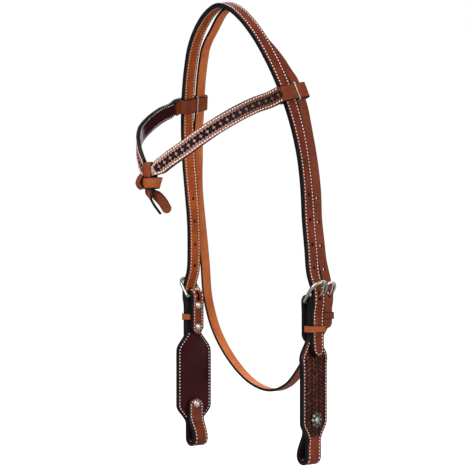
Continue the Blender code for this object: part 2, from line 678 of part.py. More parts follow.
def build_chape_screws(side, name):
    """Two Chicago screws a side: flanged posts from outside, domed screws on the chape."""
    for place, drop in zip(("upper", "lower"), SCREW_DROPS):
        centre = side_point(side, CHEEK_BAR, 0, 0, -drop)
        out = Vector((side, 0, 0))
        face = NECK_FACE
        inside = -(neck_shift(drop - SCREW_HEAD_RADIUS, FOLD_MIDDLE, -CHAPE_MIDDLE) + STRAP_HALF)
        floor = face - POST_FLANGE
        post = turned([(face, 0), (face, SCREW_HEAD_RADIUS), (floor, SCREW_HEAD_RADIUS), (floor, POST_RADIUS),
                       (inside, POST_RADIUS), (inside, POST_BORE), (floor, POST_BORE), (floor, 0)], centre, out, UP)
        cap = inside - SEAT
        head = [(along, radius) for along, radius in dome(-cap, SCREW_HEAD_RADIUS, SCREW_HEAD_HEIGHT)]
        profile = [(-floor + 2 * SEAT + SEAT, 0), (-floor + 2 * SEAT + SEAT, SHANK_RADIUS), (-cap, SHANK_RADIUS)]
        add_object(f"{name}_{place}_chape_post", post, "bright_nickel", True)
        screw = turned(profile + head, centre, -out, UP)
        add_object(f"{name}_{place}_chape_screw", screw, "bright_nickel", True)


def build_concho(side, name):
    """The concho with its shank, and the domed post that it screws into from inside the bit tab."""
    centre = side_point(side, CHEEK_BAR, 0, 0, -CONCHO_DROP)
    out = cheek_out(side, CONCHO_DROP)
    base = NECK_FACE + SEAT
    inside = TAB_MIDDLE - STRAP_HALF - SEAT
    depth = CONCHO_RADIUS / 7
    profile = [(inside + 2 * SEAT, 0), (inside + 2 * SEAT, SHANK_RADIUS), (base, SHANK_RADIUS),
               (base, CONCHO_RADIUS, 1), (base + CONCHO_RIM, CONCHO_RADIUS, 1),
               (base + CONCHO_RIM * 1.6, CONCHO_RADIUS * 0.80, 0.5), (base + CONCHO_RIM * 1.3, CONCHO_RADIUS * 0.66, 0.2),
               (base + CONCHO_RISE * 0.72, CONCHO_RADIUS * 0.42), (base + CONCHO_RISE * 0.62, CONCHO_RADIUS * 0.30),
               (base + CONCHO_RISE * 0.92, CONCHO_RADIUS * 0.19), (base + CONCHO_RISE, 0)]
    concho = turned(profile, centre, out, UP, 3 * CONCHO_LOBES, CONCHO_LOBES, depth)
    add_object(f"{name}_concho", concho, "antique_nickel", True)
    top = NECK_FACE
    head = dome(-inside, SCREW_HEAD_RADIUS, SCREW_HEAD_HEIGHT)
    post = [(-inside - SEAT, 0), (-inside - SEAT, POST_BORE), (-top, POST_BORE), (-top, POST_RADIUS), (-inside, POST_RADIUS)]
    add_object(f"{name}_concho_post", turned(post + head, centre, -out, UP), "bright_nickel", True)


def frame_outline(inside, leg, arch, wire, corner):
    """A horseshoe frame as (y, z) from its bar up to its arch and back."""
    reach = inside / 2 + wire
    points = []
    for k in range(4):
        angle = -math.pi / 2 + math.pi / 2 * k / 3
        points.append((reach - corner + corner * math.cos(angle), corner + corner * math.sin(angle)))
    points.append((reach, leg * 0.6))
    for k in range(ARCH_STEPS + 1):
        angle = math.pi * k / ARCH_STEPS
        points.append((reach * math.cos(angle), leg + arch * math.sin(angle)))
    points.append((-reach, leg * 0.6))
    for k in range(4):
        angle = math.pi + math.pi / 2 * k / 3
        points.append((-reach + corner + corner * math.cos(angle), corner + corner * math.sin(angle)))
    return points


def place_on_bar(piece, side, base, lean=0.0):
    piece.location = side_point(side, base, 0, 0, 0)
    piece.rotation_euler = (0, side * math.radians(lean), 0)


def build_buckle(side, name, base, inside, leg, arch, wire, corner, lean, route_shares, tongue_radius, material):
    """A frame that turns on its bar and a tongue that turns on the same bar."""
    outline = [Vector((0, y, z)) for y, z in frame_outline(inside, leg, arch, wire, corner)]
    frame = add_object(f"{name}_buckle_frame", tube(outline, wire, closed=True, flat_normal=Vector((1, 0, 0))),
                       material, True)
    place_on_bar(frame, side, base, lean)
    reach = leg + arch
    tilt = math.radians(lean)
    path = [Vector((side * (lift * math.cos(tilt) + far * math.sin(tilt)) * reach, 0,
                    (far * math.cos(tilt) - lift * math.sin(tilt)) * reach)) for lift, far in route_shares]
    path = smooth_path(path, 3)
    eye_in, eye_out = wire + SEAT, wire + SEAT + TONGUE_EYE_WALL
    half = TONGUE_EYE_WIDTH / 2
    eye = turned([(-half, eye_in), (-half, eye_out), (half, eye_out), (half, eye_in), (-half, eye_in)],
                 Vector(), BACK, UP, 16)
    bmesh.ops.remove_doubles(eye, verts=eye.verts[:], dist=SEAT / 100)
    bmesh.ops.recalc_face_normals(eye, faces=eye.faces[:])
    prong = add_object(f"{name}_prong_guide", tube(path, tongue_radius, flat_normal=BACK), material)
    prong.hide_render = True
    prong.display_type = "WIRE"
    place_on_bar(prong, side, base)
    tongue = add_object(f"{name}_buckle_tongue", eye, material, True)
    place_on_bar(tongue, side, base)
    join = tongue.modifiers.new("join prong", "BOOLEAN")
    join.operation = "UNION"
    join.solver = "EXACT"
    join.object = prong


def hoop(name, half_x, half_y, wall, height, centre, material, corner=KEEPER_CORNER, flare=0.0):
    """An upright leather loop of rounded rectangular outline, given by its clear half sizes at the bottom."""
    rings = []
    for x_sign, y_sign, start in ((1, 1, 0), (-1, 1, 1), (-1, -1, 2), (1, -1, 3)):
        for k in range(4):
            angle = math.pi / 2 * (start + k / 3)
            spoke = Vector((math.cos(angle), math.sin(angle), 0))
            hub = Vector((x_sign * (half_x - corner / 2), y_sign * (half_y - corner / 2), 0))
            wider = Vector((x_sign * flare, y_sign * flare, 0))
            inner, outer = hub + spoke * (corner / 2), hub + spoke * (corner / 2 + wall)
            rings.append([inner - UP * height / 2, outer - UP * height / 2,
                          outer + wider + UP * height / 2, inner + wider + UP * height / 2])
    made = add_object(name, loft(rings, closed=True), material)
    made.location = centre
    return made


def build_keepers():
    for side, name, drop in ((1, "near", NEAR_KEEPER_DROP), (-1, "off", OFF_KEEPER_DROP)):
        low = SEAT / 2 - KEEPER_PLAY
        high = BILLET_FACE + KEEPER_PLAY
        hoop(f"{name}_keeper", (high - low) / 2, STRAP_WIDTH / 2 + KEEPER_PLAY, KEEPER_WALL, KEEPER_HEIGHT,
             side_point(side, CHEEK_BAR, (high + low) / 2, 0, -drop), "keeper_leather")
    low = -THROAT_STRAND - THROAT_PLY / 2 - KEEPER_PLAY - SEAT
    high = THROAT_ON_STRAND + THROAT_PLY / 2 + KEEPER_PLAY + SEAT
    hoop("throat_keeper", (high - low) / 2, THROAT_WIDTH / 2 + KEEPER_PLAY, KEEPER_WALL, KEEPER_HEIGHT,
         side_point(1, THROAT_BAR, (high + low) / 2, 0, -THROAT_KEEPER_DROP), "dark_leather")


def crown_spot(crown, side, drop):
    """The distance along the crown strap at a height on one side."""
    near = range(len(crown.points) // 2)
    off = range(len(crown.points) // 2, len(crown.points))
    i = min(near if side > 0 else off, key=lambda k: abs(crown.points[k].z + drop))
    return crown.lengths[i]


def beside_crown(crown, side, drop, outward, spacing):
    """A place of the throatlatch next to the crown strap."""
    point, across, out = crown.place(crown_spot(crown, side, drop))
    gap = STRAP_SPACING * spacing
    return point + Vector((side * HALF_SPAN * outward, (STRAP_WIDTH + THROAT_WIDTH) / 2 + gap, 0))


def throat_points(crown):
    """From the near billet's tip over the poll, down the off side, under the throat and up to the buckle's chape."""
    points = []
    for drop in drops(THROAT_BILLET_BELOW_BAR, NECK_SETTLE, STEP_LONG):
        points.append(side_point(1, THROAT_BAR, THROAT_ON_STRAND, 0, -drop))
    for drop in drops(NECK_SETTLE, -NECK_SETTLE / 4, NECK_SETTLE / 6)[1:]:
        points.append(side_point(1, THROAT_BAR, neck_shift(drop, THROAT_ON_BAR, THROAT_ON_STRAND), 0, -drop))
    points += [Vector((HALF_SPAN * x, CROWN_SETBACK * y, -CROWN_DROP * z)) for x, y, z in THROAT_BILLET_SHARES]
    for drop, outward, spacing in reversed(NEAR_THROAT_SHARES):
        points.append(beside_crown(crown, 1, CROWN_DROP * drop, outward, spacing))
    low = BROW_LOOP_DROP + BROW_WIDTH / 2
    start, stop = crown_spot(crown, 1, low), crown_spot(crown, -1, low)
    count = 24
    for i in range(count + 1):
        share = i / count
        point, across, out = crown.place(mix(start, stop, share))
        tuck = THROAT_TUCK * ease(share, 0.12, 0.32) * (1 - ease(share, 0.38, 0.66))
        under = (THROAT_PLY + 2 * SEAT) * (ease(share, 0.075, 0.14) - ease(share, 0.64, 0.76))
        points.append(point + across * (THROAT_OFFSET - tuck) - out * (STRAP_HALF - THROAT_PLY / 2 + under))
    for drop, outward, spacing in OFF_THROAT_SHARES:
        points.append(beside_crown(crown, -1, CROWN_DROP * drop, outward, spacing))
    points += [Vector((HALF_SPAN * x, CROWN_SETBACK * y, -CROWN_DROP * z)) for x, y, z in THROAT_ARC_SHARES]
    for drop in drops(THROAT_CHAPE_LENGTH, NECK_SETTLE, NECK_SETTLE / 4):
        points.append(side_point(1, THROAT_BAR, THROAT_STRAND, 0, -drop))
    for drop in drops(NECK_SETTLE, 0, NECK_SETTLE / 4)[1:]:
        points.append(side_point(1, THROAT_BAR, neck_shift(drop, THROAT_FOLD_MIDDLE, THROAT_STRAND), 0, -drop))
    for k in range(1, ARCH_STEPS):
        angle = math.pi * k / ARCH_STEPS
        points.append(side_point(1, THROAT_BAR, THROAT_FOLD_MIDDLE * math.cos(angle), 0,
                                 THROAT_FOLD_MIDDLE * math.sin(angle)))
    for drop in drops(0, NECK_SETTLE, NECK_SETTLE / 4):
        points.append(side_point(1, THROAT_BAR, -neck_shift(drop, THROAT_FOLD_MIDDLE, THROAT_STRAND), 0, -drop))
    points.append(side_point(1, THROAT_BAR, -THROAT_STRAND, 0, -THROAT_CHAPE_LENGTH))
    return points


def build_throatlatch(crown):
    points = throat_points(crown)

    def across_at(point, distance):
        return throat_across(crown, route, point, distance)

    route = Route(points, lambda point, distance: BACK, 15, STEP_LONG * 0.75)
    route.across_at = across_at
    ends = (THROAT_WIDTH / 2, THROAT_WIDTH / 2)

    def half(distance):
        return rounded_half(distance, route.length, THROAT_WIDTH / 2, ends, THROAT_WIDTH / 10)

    rings = strap_rings(route, route.marks(end_radii=ends), half, -THROAT_PLY / 2, THROAT_PLY / 2)
    strap = add_object("throatlatch", loft(rings), "dark_leather")
    reach = THROAT_PLY / 2 + SEAT * 0.6
    slot = billet_spot(route, THROAT_SLOT_HEIGHT)
    cutters = []
    spots = [slot + THROAT_FIRST_HOLE - THROAT_SLOT_HEIGHT + k * HOLE_PITCH for k in range(THROAT_HOLES)]
    spots.append(billet_spot(route, -THROAT_LAST_HOLE))
    cutters += [bore(route, spot, HOLE_RADIUS, reach) for spot in spots]
    low = -CHAPE_SLOT_DROP
    wide = THROAT_FOLD_INSIDE + THROAT_PLY + SEAT / 4
    box = []
    for z in (low, wide + OVERRUN / 4):
        box.append([side_point(1, THROAT_BAR, x, y, z)
                    for x, y in ((-wide, -CHAPE_SLOT_WIDTH / 2), (wide, -CHAPE_SLOT_WIDTH / 2),
                                 (wide, CHAPE_SLOT_WIDTH / 2), (-wide, CHAPE_SLOT_WIDTH / 2))])
    cut(strap, cutters)
    cut(strap, [bore(route, slot, THROAT_SLOT_WIDTH / 2, THROAT_PLY, THROAT_SLOT_LENGTH)], "tongue")
    cut(strap, [loft(box)], "fold")


def billet_spot(route, height):
    """The distance from the throatlatch's billet tip to a height over its buckle's bar."""
    for i, point in enumerate(route.points):
        if point.z >= THROAT_BAR[2] + height:
            return route.lengths[i]
    return route.length


def throat_across(crown, route, point, distance):
    """The throatlatch keeps the crown strap's tilt over the poll and turns outward a little on the off side."""
    if point.z < -CROWN_DROP * 0.98:
        return BACK
    side = 1 if point.x > 0 else -1
    spot = crown_spot(crown, side, -point.z)
    across = crown.place(spot)[1]
    share = -point.z / CROWN_DROP
    turn = math.radians(OFF_THROAT_TURN) * ease(share, 0.42, 0.6) * (1 - ease(share, 0.8, 0.98)) if side < 0 else 0
    keep = 1 - ease(share, 0.42, 0.6)
    base = across * keep + BACK * (1 - keep)
    return base + Vector((turn, 0, 0))


class LoopFrame:
    """The place of a browband loop on the crown strap."""

    def __init__(self, crown, side):
        spot = crown_spot(crown, side, BROW_LOOP_DROP)
        self.centre, self.back, self.out = crown.place(spot)
        self.up = self.back.cross(self.out) * side
        if self.up.z < 0:
            self.up.negate()

    def point(self, back, out, up=0.0):
        return self.centre + self.back * back + self.out * out + self.up * up


def brow_route(frame, side):
    """The browband's middle line from the crown strap's front edge to past the knot's middle."""
    half = STRAP_WIDTH / 2
    points = [frame.point(-half - SEAT, BROW_ON_LOOP), frame.point(-half - BROW_LOOP_LEAD, BROW_ON_LOOP)]
    fall = KNOT_DROP - BROW_LOOP_DROP
    points += [Vector((side * HALF_SPAN * x, -KNOT_FRONT * y, -BROW_LOOP_DROP - fall * z)) for x, y, z in BROW_ROUTE_SHARES]
    lap = BROW_PLY + SEAT if side > 0 else 0
    for share in (1.25, 0.5, 0, -1.0):
        points.append(Vector((side * KNOT_LAP / 2 * share, -KNOT_FRONT - lap, -KNOT_DROP)))

    def across_at(point, distance):
        turn = ease(distance, BROW_LOOP_TUCK[1], BROW_LOOP_TUCK[1] + BROW_TURN_LENGTH)
        return frame.up * (1 - turn) + UP * turn

    return Route(points, across_at)


def build_browband(crown):
    for side, name in ((1, "near"), (-1, "off")):
        frame = LoopFrame(crown, side)
        route = brow_route(frame, side)
        stop = route.length - KNOT_LAP / 2 - BROW_FACE_STOP
        start = BROW_LOOP_LEAD + SEAT

        def half(distance):
            gone = ease(route.length - distance, KNOT_LAP, KNOT_LAP + KNOT_TAPER)
            return mix(KNOT_LAP_HALF_HEIGHT, BROW_WIDTH / 2, gone)

        marks = route.marks(start, stop)
        face = strap_rings(route, marks, half, SEAT / 2, BROW_HALF, side=side)
        add_object(f"{name}_browband_face", loft(face), "brow_leather")
        marks = [0.0] + marks + route.marks(stop)[1:]
        lining = strap_rings(route, marks, half, -BROW_HALF, -SEAT / 2, side=side)
        add_object(f"{name}_browband_lining", loft(lining), "burgundy_leather")
        build_loop(frame, route, side, name)


def build_loop(frame, route, side, name):
    """The loop that the crown strap and the throatlatch run through, and the wire staple that parts them."""
    front = -STRAP_WIDTH / 2
    corner = THROAT_OFFSET + THROAT_WIDTH / 2 - LOOP_HALF / 3
    points = [frame.point(front - BROW_LOOP_LEAD + SEAT, LOOP_MIDDLE), frame.point(0, LOOP_MIDDLE),
              frame.point(-front, LOOP_MIDDLE), frame.point(corner - LOOP_HALF, LOOP_MIDDLE)]
    for k in range(9):
        angle = math.pi * k / 8
        points.append(frame.point(corner + LOOP_MIDDLE * math.sin(angle), LOOP_MIDDLE * math.cos(angle)))
    points += [frame.point(corner - LOOP_HALF, -LOOP_MIDDLE), frame.point(-front, -LOOP_MIDDLE),
               frame.point(0, -LOOP_MIDDLE), frame.point(front - 2 * SEAT, -LOOP_MIDDLE)]
    under = BROW_HALF + 2 * SEAT + BROW_PLY / 2
    for i in range(5):
        distance = mix(*BROW_LOOP_TUCK, i / 4)
        point, across, out = route.place(distance)
        points.append(point - out * (side * under))
    loop_route = Route(points, lambda point, distance: frame.up, 7)
    rings = strap_rings(loop_route, loop_route.marks(), lambda distance: BROW_WIDTH / 2, -BROW_PLY / 2, BROW_PLY / 2)
    add_object(f"{name}_brow_loop", loft(rings), "russet_leather")
    gap = STRAP_WIDTH / 2 + STRAP_SPACING / 2
    reach = LOOP_MIDDLE + BROW_PLY / 2 + SEAT + DIVIDER_RADIUS
    half = BROW_WIDTH / 2 + SEAT + DIVIDER_RADIUS
    bend = 1.5 * DIVIDER_RADIUS
    outline = []
    for out_sign, up_sign, start in ((1, 1, 0), (-1, 1, 1), (-1, -1, 2), (1, -1, 3)):
        for k in range(4):
            angle = math.pi / 2 * (start + k / 3)
            outline.append(frame.point(gap, out_sign * (reach - bend) + bend * math.cos(angle),
                                       up_sign * (half - bend) + bend * math.sin(angle)))
    staple = tube(outline, DIVIDER_RADIUS, closed=True, flat_normal=frame.back)
    add_object(f"{name}_brow_staple", staple, "bright_nickel", True)


def build_knot():
    """A thong folded over the lapped ends. Its own ends go down through a wrap and hang as the tails."""
    middle = Vector((0, -KNOT_FRONT, -KNOT_DROP))
    lap_half = BROW_PLY + SEAT / 2 + 1.5 * SEAT
    arc_radius = lap_half + THONG_PLY / 2
    arc_lift = KNOT_LAP_HALF_HEIGHT - arc_radius / 8
    strand = SEAT + THONG_PLY / 2
    wrap_low = WRAP_DROP + WRAP_HEIGHT / 2
    near_tail = [middle + Vector((0, strand, -wrap_low)) + Vector((x, y, -z)) * TAIL_DROP
                 for x, y, z in NEAR_TAIL_SHARES]
    off_tail = [middle + Vector((0, -strand, -wrap_low)) + Vector((x, y, -z)) * TAIL_DROP
                for x, y, z in OFF_TAIL_SHARES]
    points = near_tail[::-1]
    lap_foot = KNOT_LAP_HALF_HEIGHT + 2 * SEAT
    side = [(strand, -wrap_low)]
    for drop in drops(wrap_low - WRAP_HEIGHT / 4, lap_foot, SEAT * 6):
        side.append((mix(arc_radius, strand, ease(drop, lap_foot, wrap_low - WRAP_HEIGHT / 4)), -drop))
    side.append((arc_radius, 0))
    body = side[:]
    for k in range(9):
        angle = math.pi * k / 8
        body.append((arc_radius * math.cos(angle), arc_lift + arc_radius * math.sin(angle)))
    body += [(-y, z) for y, z in side[::-1]]
    points += [middle + Vector((0, y, z)) for y, z in body]
    points += off_tail

    def across_at(point, distance):
        fall = middle.z - wrap_low - point.z
        turn = NEAR_TAIL_TURN if distance < route.length / 2 else OFF_TAIL_TURN
        delay = TAIL_DROP / 5 if distance < route.length / 2 else TAIL_DROP / 3
        angle = math.radians(turn) * ease(fall, delay, TAIL_DROP * 0.75)
        return Vector((-math.cos(angle), -math.sin(angle), 0))

    route = Route(points, lambda point, distance: Vector((-1, 0, 0)), 12)
    route.across_at = across_at
    ends = (THONG_WIDTH / 2, THONG_WIDTH / 2)

    def half(distance):
        return rounded_half(distance, route.length, THONG_WIDTH / 2, ends, THONG_WIDTH / 6)

    rings = strap_rings(route, route.marks(end_radii=ends), half, -THONG_PLY / 2, THONG_PLY / 2)
    add_object("knot_thong", loft(rings), "russet_leather")
    hoop("knot_wrap", WRAP_HALF_WIDTH, strand + THONG_PLY / 2 + 2 * SEAT, THONG_PLY, WRAP_HEIGHT,
         middle + Vector((WRAP_SHIFT, 0, -WRAP_DROP)), "keeper_leather", 2 * THONG_PLY, WRAP_FLARE)


def main():
    clear_scene()
    crown = crown_route()
    build_crown(crown)
    build_throatlatch(crown)
    build_browband(crown)
    build_knot()
    for side, name in ((1, "near"), (-1, "off")):
        build_cheek(side, name)
        build_chape_screws(side, name)
        build_concho(side, name)
        build_buckle(side, name, CHEEK_BAR, BUCKLE_INSIDE, BUCKLE_LEG, BUCKLE_ARCH, WIRE_RADIUS, BUCKLE_CORNER,
                     BUCKLE_LEAN, TONGUE_ROUTE_SHARES, TONGUE_RADIUS, "antique_nickel")
    build_buckle(1, "throat", THROAT_BAR, THROAT_BUCKLE_INSIDE, THROAT_BUCKLE_LEG, THROAT_BUCKLE_ARCH,
                 THROAT_WIRE_RADIUS, BUCKLE_CORNER, THROAT_BUCKLE_LEAN, THROAT_TONGUE_ROUTE_SHARES,
                 THROAT_TONGUE_RADIUS, "bright_nickel")
    build_keepers()


main()
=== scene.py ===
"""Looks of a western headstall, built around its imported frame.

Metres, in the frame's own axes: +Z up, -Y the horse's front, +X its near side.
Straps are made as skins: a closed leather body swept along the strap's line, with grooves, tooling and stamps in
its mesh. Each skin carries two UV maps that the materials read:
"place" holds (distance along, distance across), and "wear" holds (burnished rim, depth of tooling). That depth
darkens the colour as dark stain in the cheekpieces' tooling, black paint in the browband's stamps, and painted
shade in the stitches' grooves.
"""

import math

import bpy
import numpy as np
from bpy.props import FloatProperty, FloatVectorProperty, PointerProperty
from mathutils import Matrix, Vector


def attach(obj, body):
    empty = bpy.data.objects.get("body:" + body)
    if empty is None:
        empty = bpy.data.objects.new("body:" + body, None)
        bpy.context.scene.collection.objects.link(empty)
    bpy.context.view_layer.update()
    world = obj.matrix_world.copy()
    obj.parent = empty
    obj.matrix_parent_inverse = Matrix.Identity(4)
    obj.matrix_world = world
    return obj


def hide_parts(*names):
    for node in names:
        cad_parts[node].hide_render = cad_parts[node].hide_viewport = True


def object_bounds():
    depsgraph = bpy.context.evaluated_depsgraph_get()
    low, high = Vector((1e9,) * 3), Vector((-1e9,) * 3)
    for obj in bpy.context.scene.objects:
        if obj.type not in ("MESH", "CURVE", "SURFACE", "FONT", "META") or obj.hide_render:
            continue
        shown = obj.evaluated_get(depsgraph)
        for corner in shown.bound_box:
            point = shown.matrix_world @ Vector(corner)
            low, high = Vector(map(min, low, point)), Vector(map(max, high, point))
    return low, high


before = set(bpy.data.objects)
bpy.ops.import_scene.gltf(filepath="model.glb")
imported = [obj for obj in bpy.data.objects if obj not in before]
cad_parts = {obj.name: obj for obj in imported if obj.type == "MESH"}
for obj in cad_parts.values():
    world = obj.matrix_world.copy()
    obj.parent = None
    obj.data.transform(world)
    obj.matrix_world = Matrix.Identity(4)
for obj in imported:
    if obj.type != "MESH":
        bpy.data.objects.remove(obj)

bl_info = {
    "name": "Western headstall looks",
    "version": (1, 0, 0),
    "blender": (4, 5, 0),
    "location": "View3D > Sidebar > Headstall",
    "description": "Tooled and stitched leather, nickel hardware and a studio stage for the headstall",
    "category": "Object",
}

CAD_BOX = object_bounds()

# Sizes of the part, as its source has them
PLY, THROAT_PLY, BROW_PLY, SEAT, OVERRUN = 0.0025, 0.0030, 0.0022, 0.0003, 0.004
STRAP_WIDTH, HALF_SPAN, CROWN_DROP, CROWN_SETBACK = 0.0160, 0.0975, 0.2900, 0.0400
CROWN_TILT, CROWN_TURN = math.radians(11.0), math.radians(8.5)
BILLET_BELOW_BAR, HOLE_RADIUS, HOLE_PITCH, FIRST_HOLE, CROWN_HOLES = 0.0576, 0.0019, 0.0254, 0.0352, 4
TONGUE_SLOT = (0.0042, 0.0090, 0.0056)      # width, length and height above the bar
CROWN_ROUTE = (
    (0.000, 0.00, 0.000), (0.200, 0.01, 0.020), (0.370, 0.04, 0.061), (0.554, 0.12, 0.130),
    (0.700, 0.255, 0.215), (0.832, 0.42, 0.319), (0.930, 0.58, 0.430), (0.986, 0.74, 0.561),
    (1.000, 0.86, 0.690), (1.000, 0.94, 0.820), (1.015, 0.98, 0.906), (1.040, 1.00, 1.000),
)
WIRE_RADIUS, BAR_PLAY = 0.0019, 0.00035
BUCKLE = dict(inside=0.0170, leg=0.0160, arch=0.0110, wire=WIRE_RADIUS, corner=0.0025, lean=math.radians(39.5),
              tongue=0.0011, route=((0.051, 0.104), (0.132, 0.288), (0.214, 0.488), (0.228, 0.695), (0.184, 0.881),
                                    (0.127, 1.010), (0.097, 1.125)))
CHAPE_LENGTH, CHAPE_SLOT_DROP, CHAPE_SLOT_WIDTH, NECK_SETTLE = 0.0430, 0.0050, 0.0050, 0.0120
KEEPER_WALL, KEEPER_HEIGHT, KEEPER_PLAY, KEEPER_CORNER = 0.0011, 0.0074, 0.0004, 0.0012
NECK_LENGTH, SHOULDER_END, PADDLE_HALF_WIDTH, PADDLE_END, TAIL_START = 0.0380, 0.0620, 0.0215, 0.1260, 0.1470
TAIL_HALF_WIDTH, CONCHO_DROP = 0.0095, 0.1240
CHEEK_TURN, TURN_END, LOOP_OPENING = math.radians(11.5), 0.0160, 0.0080
CHEEK_LENGTH, LOOP_TOP, BIT_TAB_TOP = CONCHO_DROP + 0.0480, CONCHO_DROP + 0.0140, CONCHO_DROP - 0.0070
SCREW_DROPS, SCREW_HEAD_RADIUS, SCREW_HEAD_HEIGHT, POST_RADIUS = (0.0105, 0.0352), 0.0040, 0.0019, 0.0020
CONCHO_RADIUS, CONCHO_RISE = 0.0085, 0.0036
KEEPER_DROPS = {"near": 0.0286, "off": 0.0240, "throat": 0.0180}
THROAT_WIDTH, STRAP_SPACING, THROAT_TUCK = 0.0127, 0.0024, 0.0115
BROW_LOOP_DROP, BROW_WIDTH, BROW_LOOP_PLAY, BROW_LOOP_LEAD = 0.1010, 0.0170, 0.0012, 0.0035
CHEEK_BAR = (HALF_SPAN + 0.0010, CROWN_SETBACK, -CROWN_DROP - 0.0273)
THROAT_BAR = (HALF_SPAN - 0.0055, CROWN_SETBACK + 0.0245, CHEEK_BAR[2] + 0.0023)
THROAT_BUCKLE = dict(inside=0.0141, leg=0.0120, arch=0.0085, wire=0.0016, corner=0.0025, lean=math.radians(33.0),
                     tongue=0.0010, route=((0.060, 0.105), (0.133, 0.250), (0.213, 0.412), (0.238, 0.621),
                                           (0.206, 0.821), (0.152, 0.970), (0.127, 1.090)))
OFF_THROAT_TURN = math.radians(17.0)
THROAT_SLOT = (0.0036, 0.0078, 0.0040)
THROAT_BILLET_BELOW_BAR, THROAT_CHAPE_LENGTH = 0.0310, 0.0260
THROAT_HOLES, THROAT_FIRST_HOLE, THROAT_LAST_HOLE = 4, 0.0310, 0.0205
NEAR_THROAT = ((0.472, -0.018, 0.45), (0.590, -0.026, 0.45), (0.693, -0.024, 0.45),
               (0.793, -0.037, 0.60), (0.878, -0.038, 0.94), (0.955, -0.046, 1.80))
OFF_THROAT = ((0.440, -0.005, 0.45), (0.540, 0.030, 0.45), (0.640, 0.074, 0.50),
              (0.803, 0.073, 0.70), (0.951, 0.025, 1.60))
THROAT_ARC = ((-1.056, 1.59, 1.112), (-0.944, 1.655, 1.226), (-0.698, 1.78, 1.347), (-0.308, 1.85, 1.434),
              (0.000, 1.83, 1.449), (0.308, 1.74, 1.420), (0.615, 1.63, 1.335), (0.841, 1.605, 1.233),
              (0.918, 1.61, 1.198))
THROAT_BILLET = ((0.997, 1.615, 1.042), (0.984, 1.57, 1.007))
BROW_LOOP_TUCK, BROW_TURN_LENGTH = (0.0055, 0.0120), 0.0300
DIVIDER_RADIUS = 0.0007
BROW_ROUTE = ((0.868, 0.061, 0.075), (0.824, 0.212, 0.143), (0.779, 0.347, 0.222), (0.727, 0.490, 0.323),
              (0.651, 0.637, 0.446), (0.544, 0.751, 0.575), (0.413, 0.841, 0.709), (0.272, 0.918, 0.831),
              (0.140, 0.976, 0.943))
KNOT_FRONT, KNOT_DROP, KNOT_LAP, KNOT_LAP_HALF_HEIGHT, KNOT_TAPER = 0.0980, 0.1815, 0.0110, 0.0050, 0.0140
BROW_FACE_STOP = 0.0072
THONG_WIDTH, THONG_PLY, WRAP_HEIGHT, WRAP_DROP = 0.0100, 0.0024, 0.0120, 0.0120
WRAP_HALF_WIDTH, WRAP_FLARE, WRAP_SHIFT, TAIL_DROP = 0.0085, 0.0025, 0.0018, 0.0255
LAP_ASIDE = 0.0022
NEAR_TAIL_TURN, OFF_TAIL_TURN = math.radians(50.0), math.radians(-40.0)
NEAR_TAIL = ((0.05, 0.20, 0.20), (0.18, 0.45, 0.50), (0.31, 0.69, 0.96))
OFF_TAIL = ((-0.01, 0.03, 0.24), (-0.06, 0.28, 0.58), (-0.12, 0.70, 1.00))

STRAP_HALF = PLY + SEAT / 2
FOLD_MIDDLE = WIRE_RADIUS + BAR_PLAY + STRAP_HALF
FOLD_OUTSIDE = FOLD_MIDDLE + STRAP_HALF
NECK_MIDDLE = SEAT / 2 + STRAP_HALF
NECK_FACE = NECK_MIDDLE + STRAP_HALF
BILLET_ON_BAR = FOLD_OUTSIDE + 2 * SEAT + STRAP_HALF
BILLET_ON_NECK = NECK_FACE + 2 * SEAT + STRAP_HALF
BILLET_FACE = BILLET_ON_NECK + STRAP_HALF
CHAPE_GAP = KEEPER_WALL + KEEPER_PLAY + SEAT
CHAPE_MIDDLE = SEAT / 2 - CHAPE_GAP - STRAP_HALF
TAB_MIDDLE = -SEAT / 2 - STRAP_HALF
LOOP_RADIUS = LOOP_OPENING / 2 + STRAP_HALF
LOOP_CENTRE = NECK_MIDDLE - LOOP_RADIUS
THROAT_FOLD_INSIDE = THROAT_BUCKLE["wire"] + BAR_PLAY
THROAT_FOLD_MIDDLE = THROAT_FOLD_INSIDE + THROAT_PLY / 2
THROAT_ON_BAR = THROAT_FOLD_INSIDE + THROAT_PLY + SEAT + THROAT_PLY / 2
THROAT_STRAND = SEAT / 2 + THROAT_PLY / 2
THROAT_ON_STRAND = SEAT / 2 + THROAT_PLY + SEAT + THROAT_PLY / 2
THROAT_OFFSET = (STRAP_WIDTH + THROAT_WIDTH) / 2 + STRAP_SPACING
BROW_HALF = BROW_PLY + SEAT / 2
LOOP_HALF = STRAP_HALF + BROW_LOOP_PLAY
LOOP_MIDDLE = LOOP_HALF + BROW_PLY / 2
BROW_ON_LOOP = LOOP_MIDDLE - BROW_PLY / 2 - SEAT / 2
SIDES = {"near": 1, "off": -1}
MM = 0.001

# Sizes of the looks alone
SHARP_ANGLE = math.radians(35)
AXIS = 0.02 * MM                        # radius at which a turned body is closed
BILLET_STEP, POLL_STEPS = 0.020, 24
PLY_ROUND, THIN_ROUND = 0.0009, 0.0007  # roundness of the straps' edges
END_REACH, FULL_HALF = 12 * MM, 6.5 * MM    # of the denser rows at an end, and of a strap with full-size edges
PLAIN_INSETS = (1.6 * MM,)
RIM_FADE, RELIEF_FADE = (0.35 * MM, 1.15 * MM), (0.9 * MM, 1.3 * MM)
CUT_WEAR = 0.2
THREAD_SUNK, GROOVE_WIDTH = 0.12 * MM, 0.00055
BROW_SEAM_SHARE, BROW_PITCH_SHARE = 0.75, 0.9
LINING_SEAM = (0.041, 0.141)            # drops between which the cheekpiece's lining shows its stitches
EYE_WALL, EYE_HALF_LENGTH, EYE_BEVEL = 0.0015, 0.0020, 0.00035
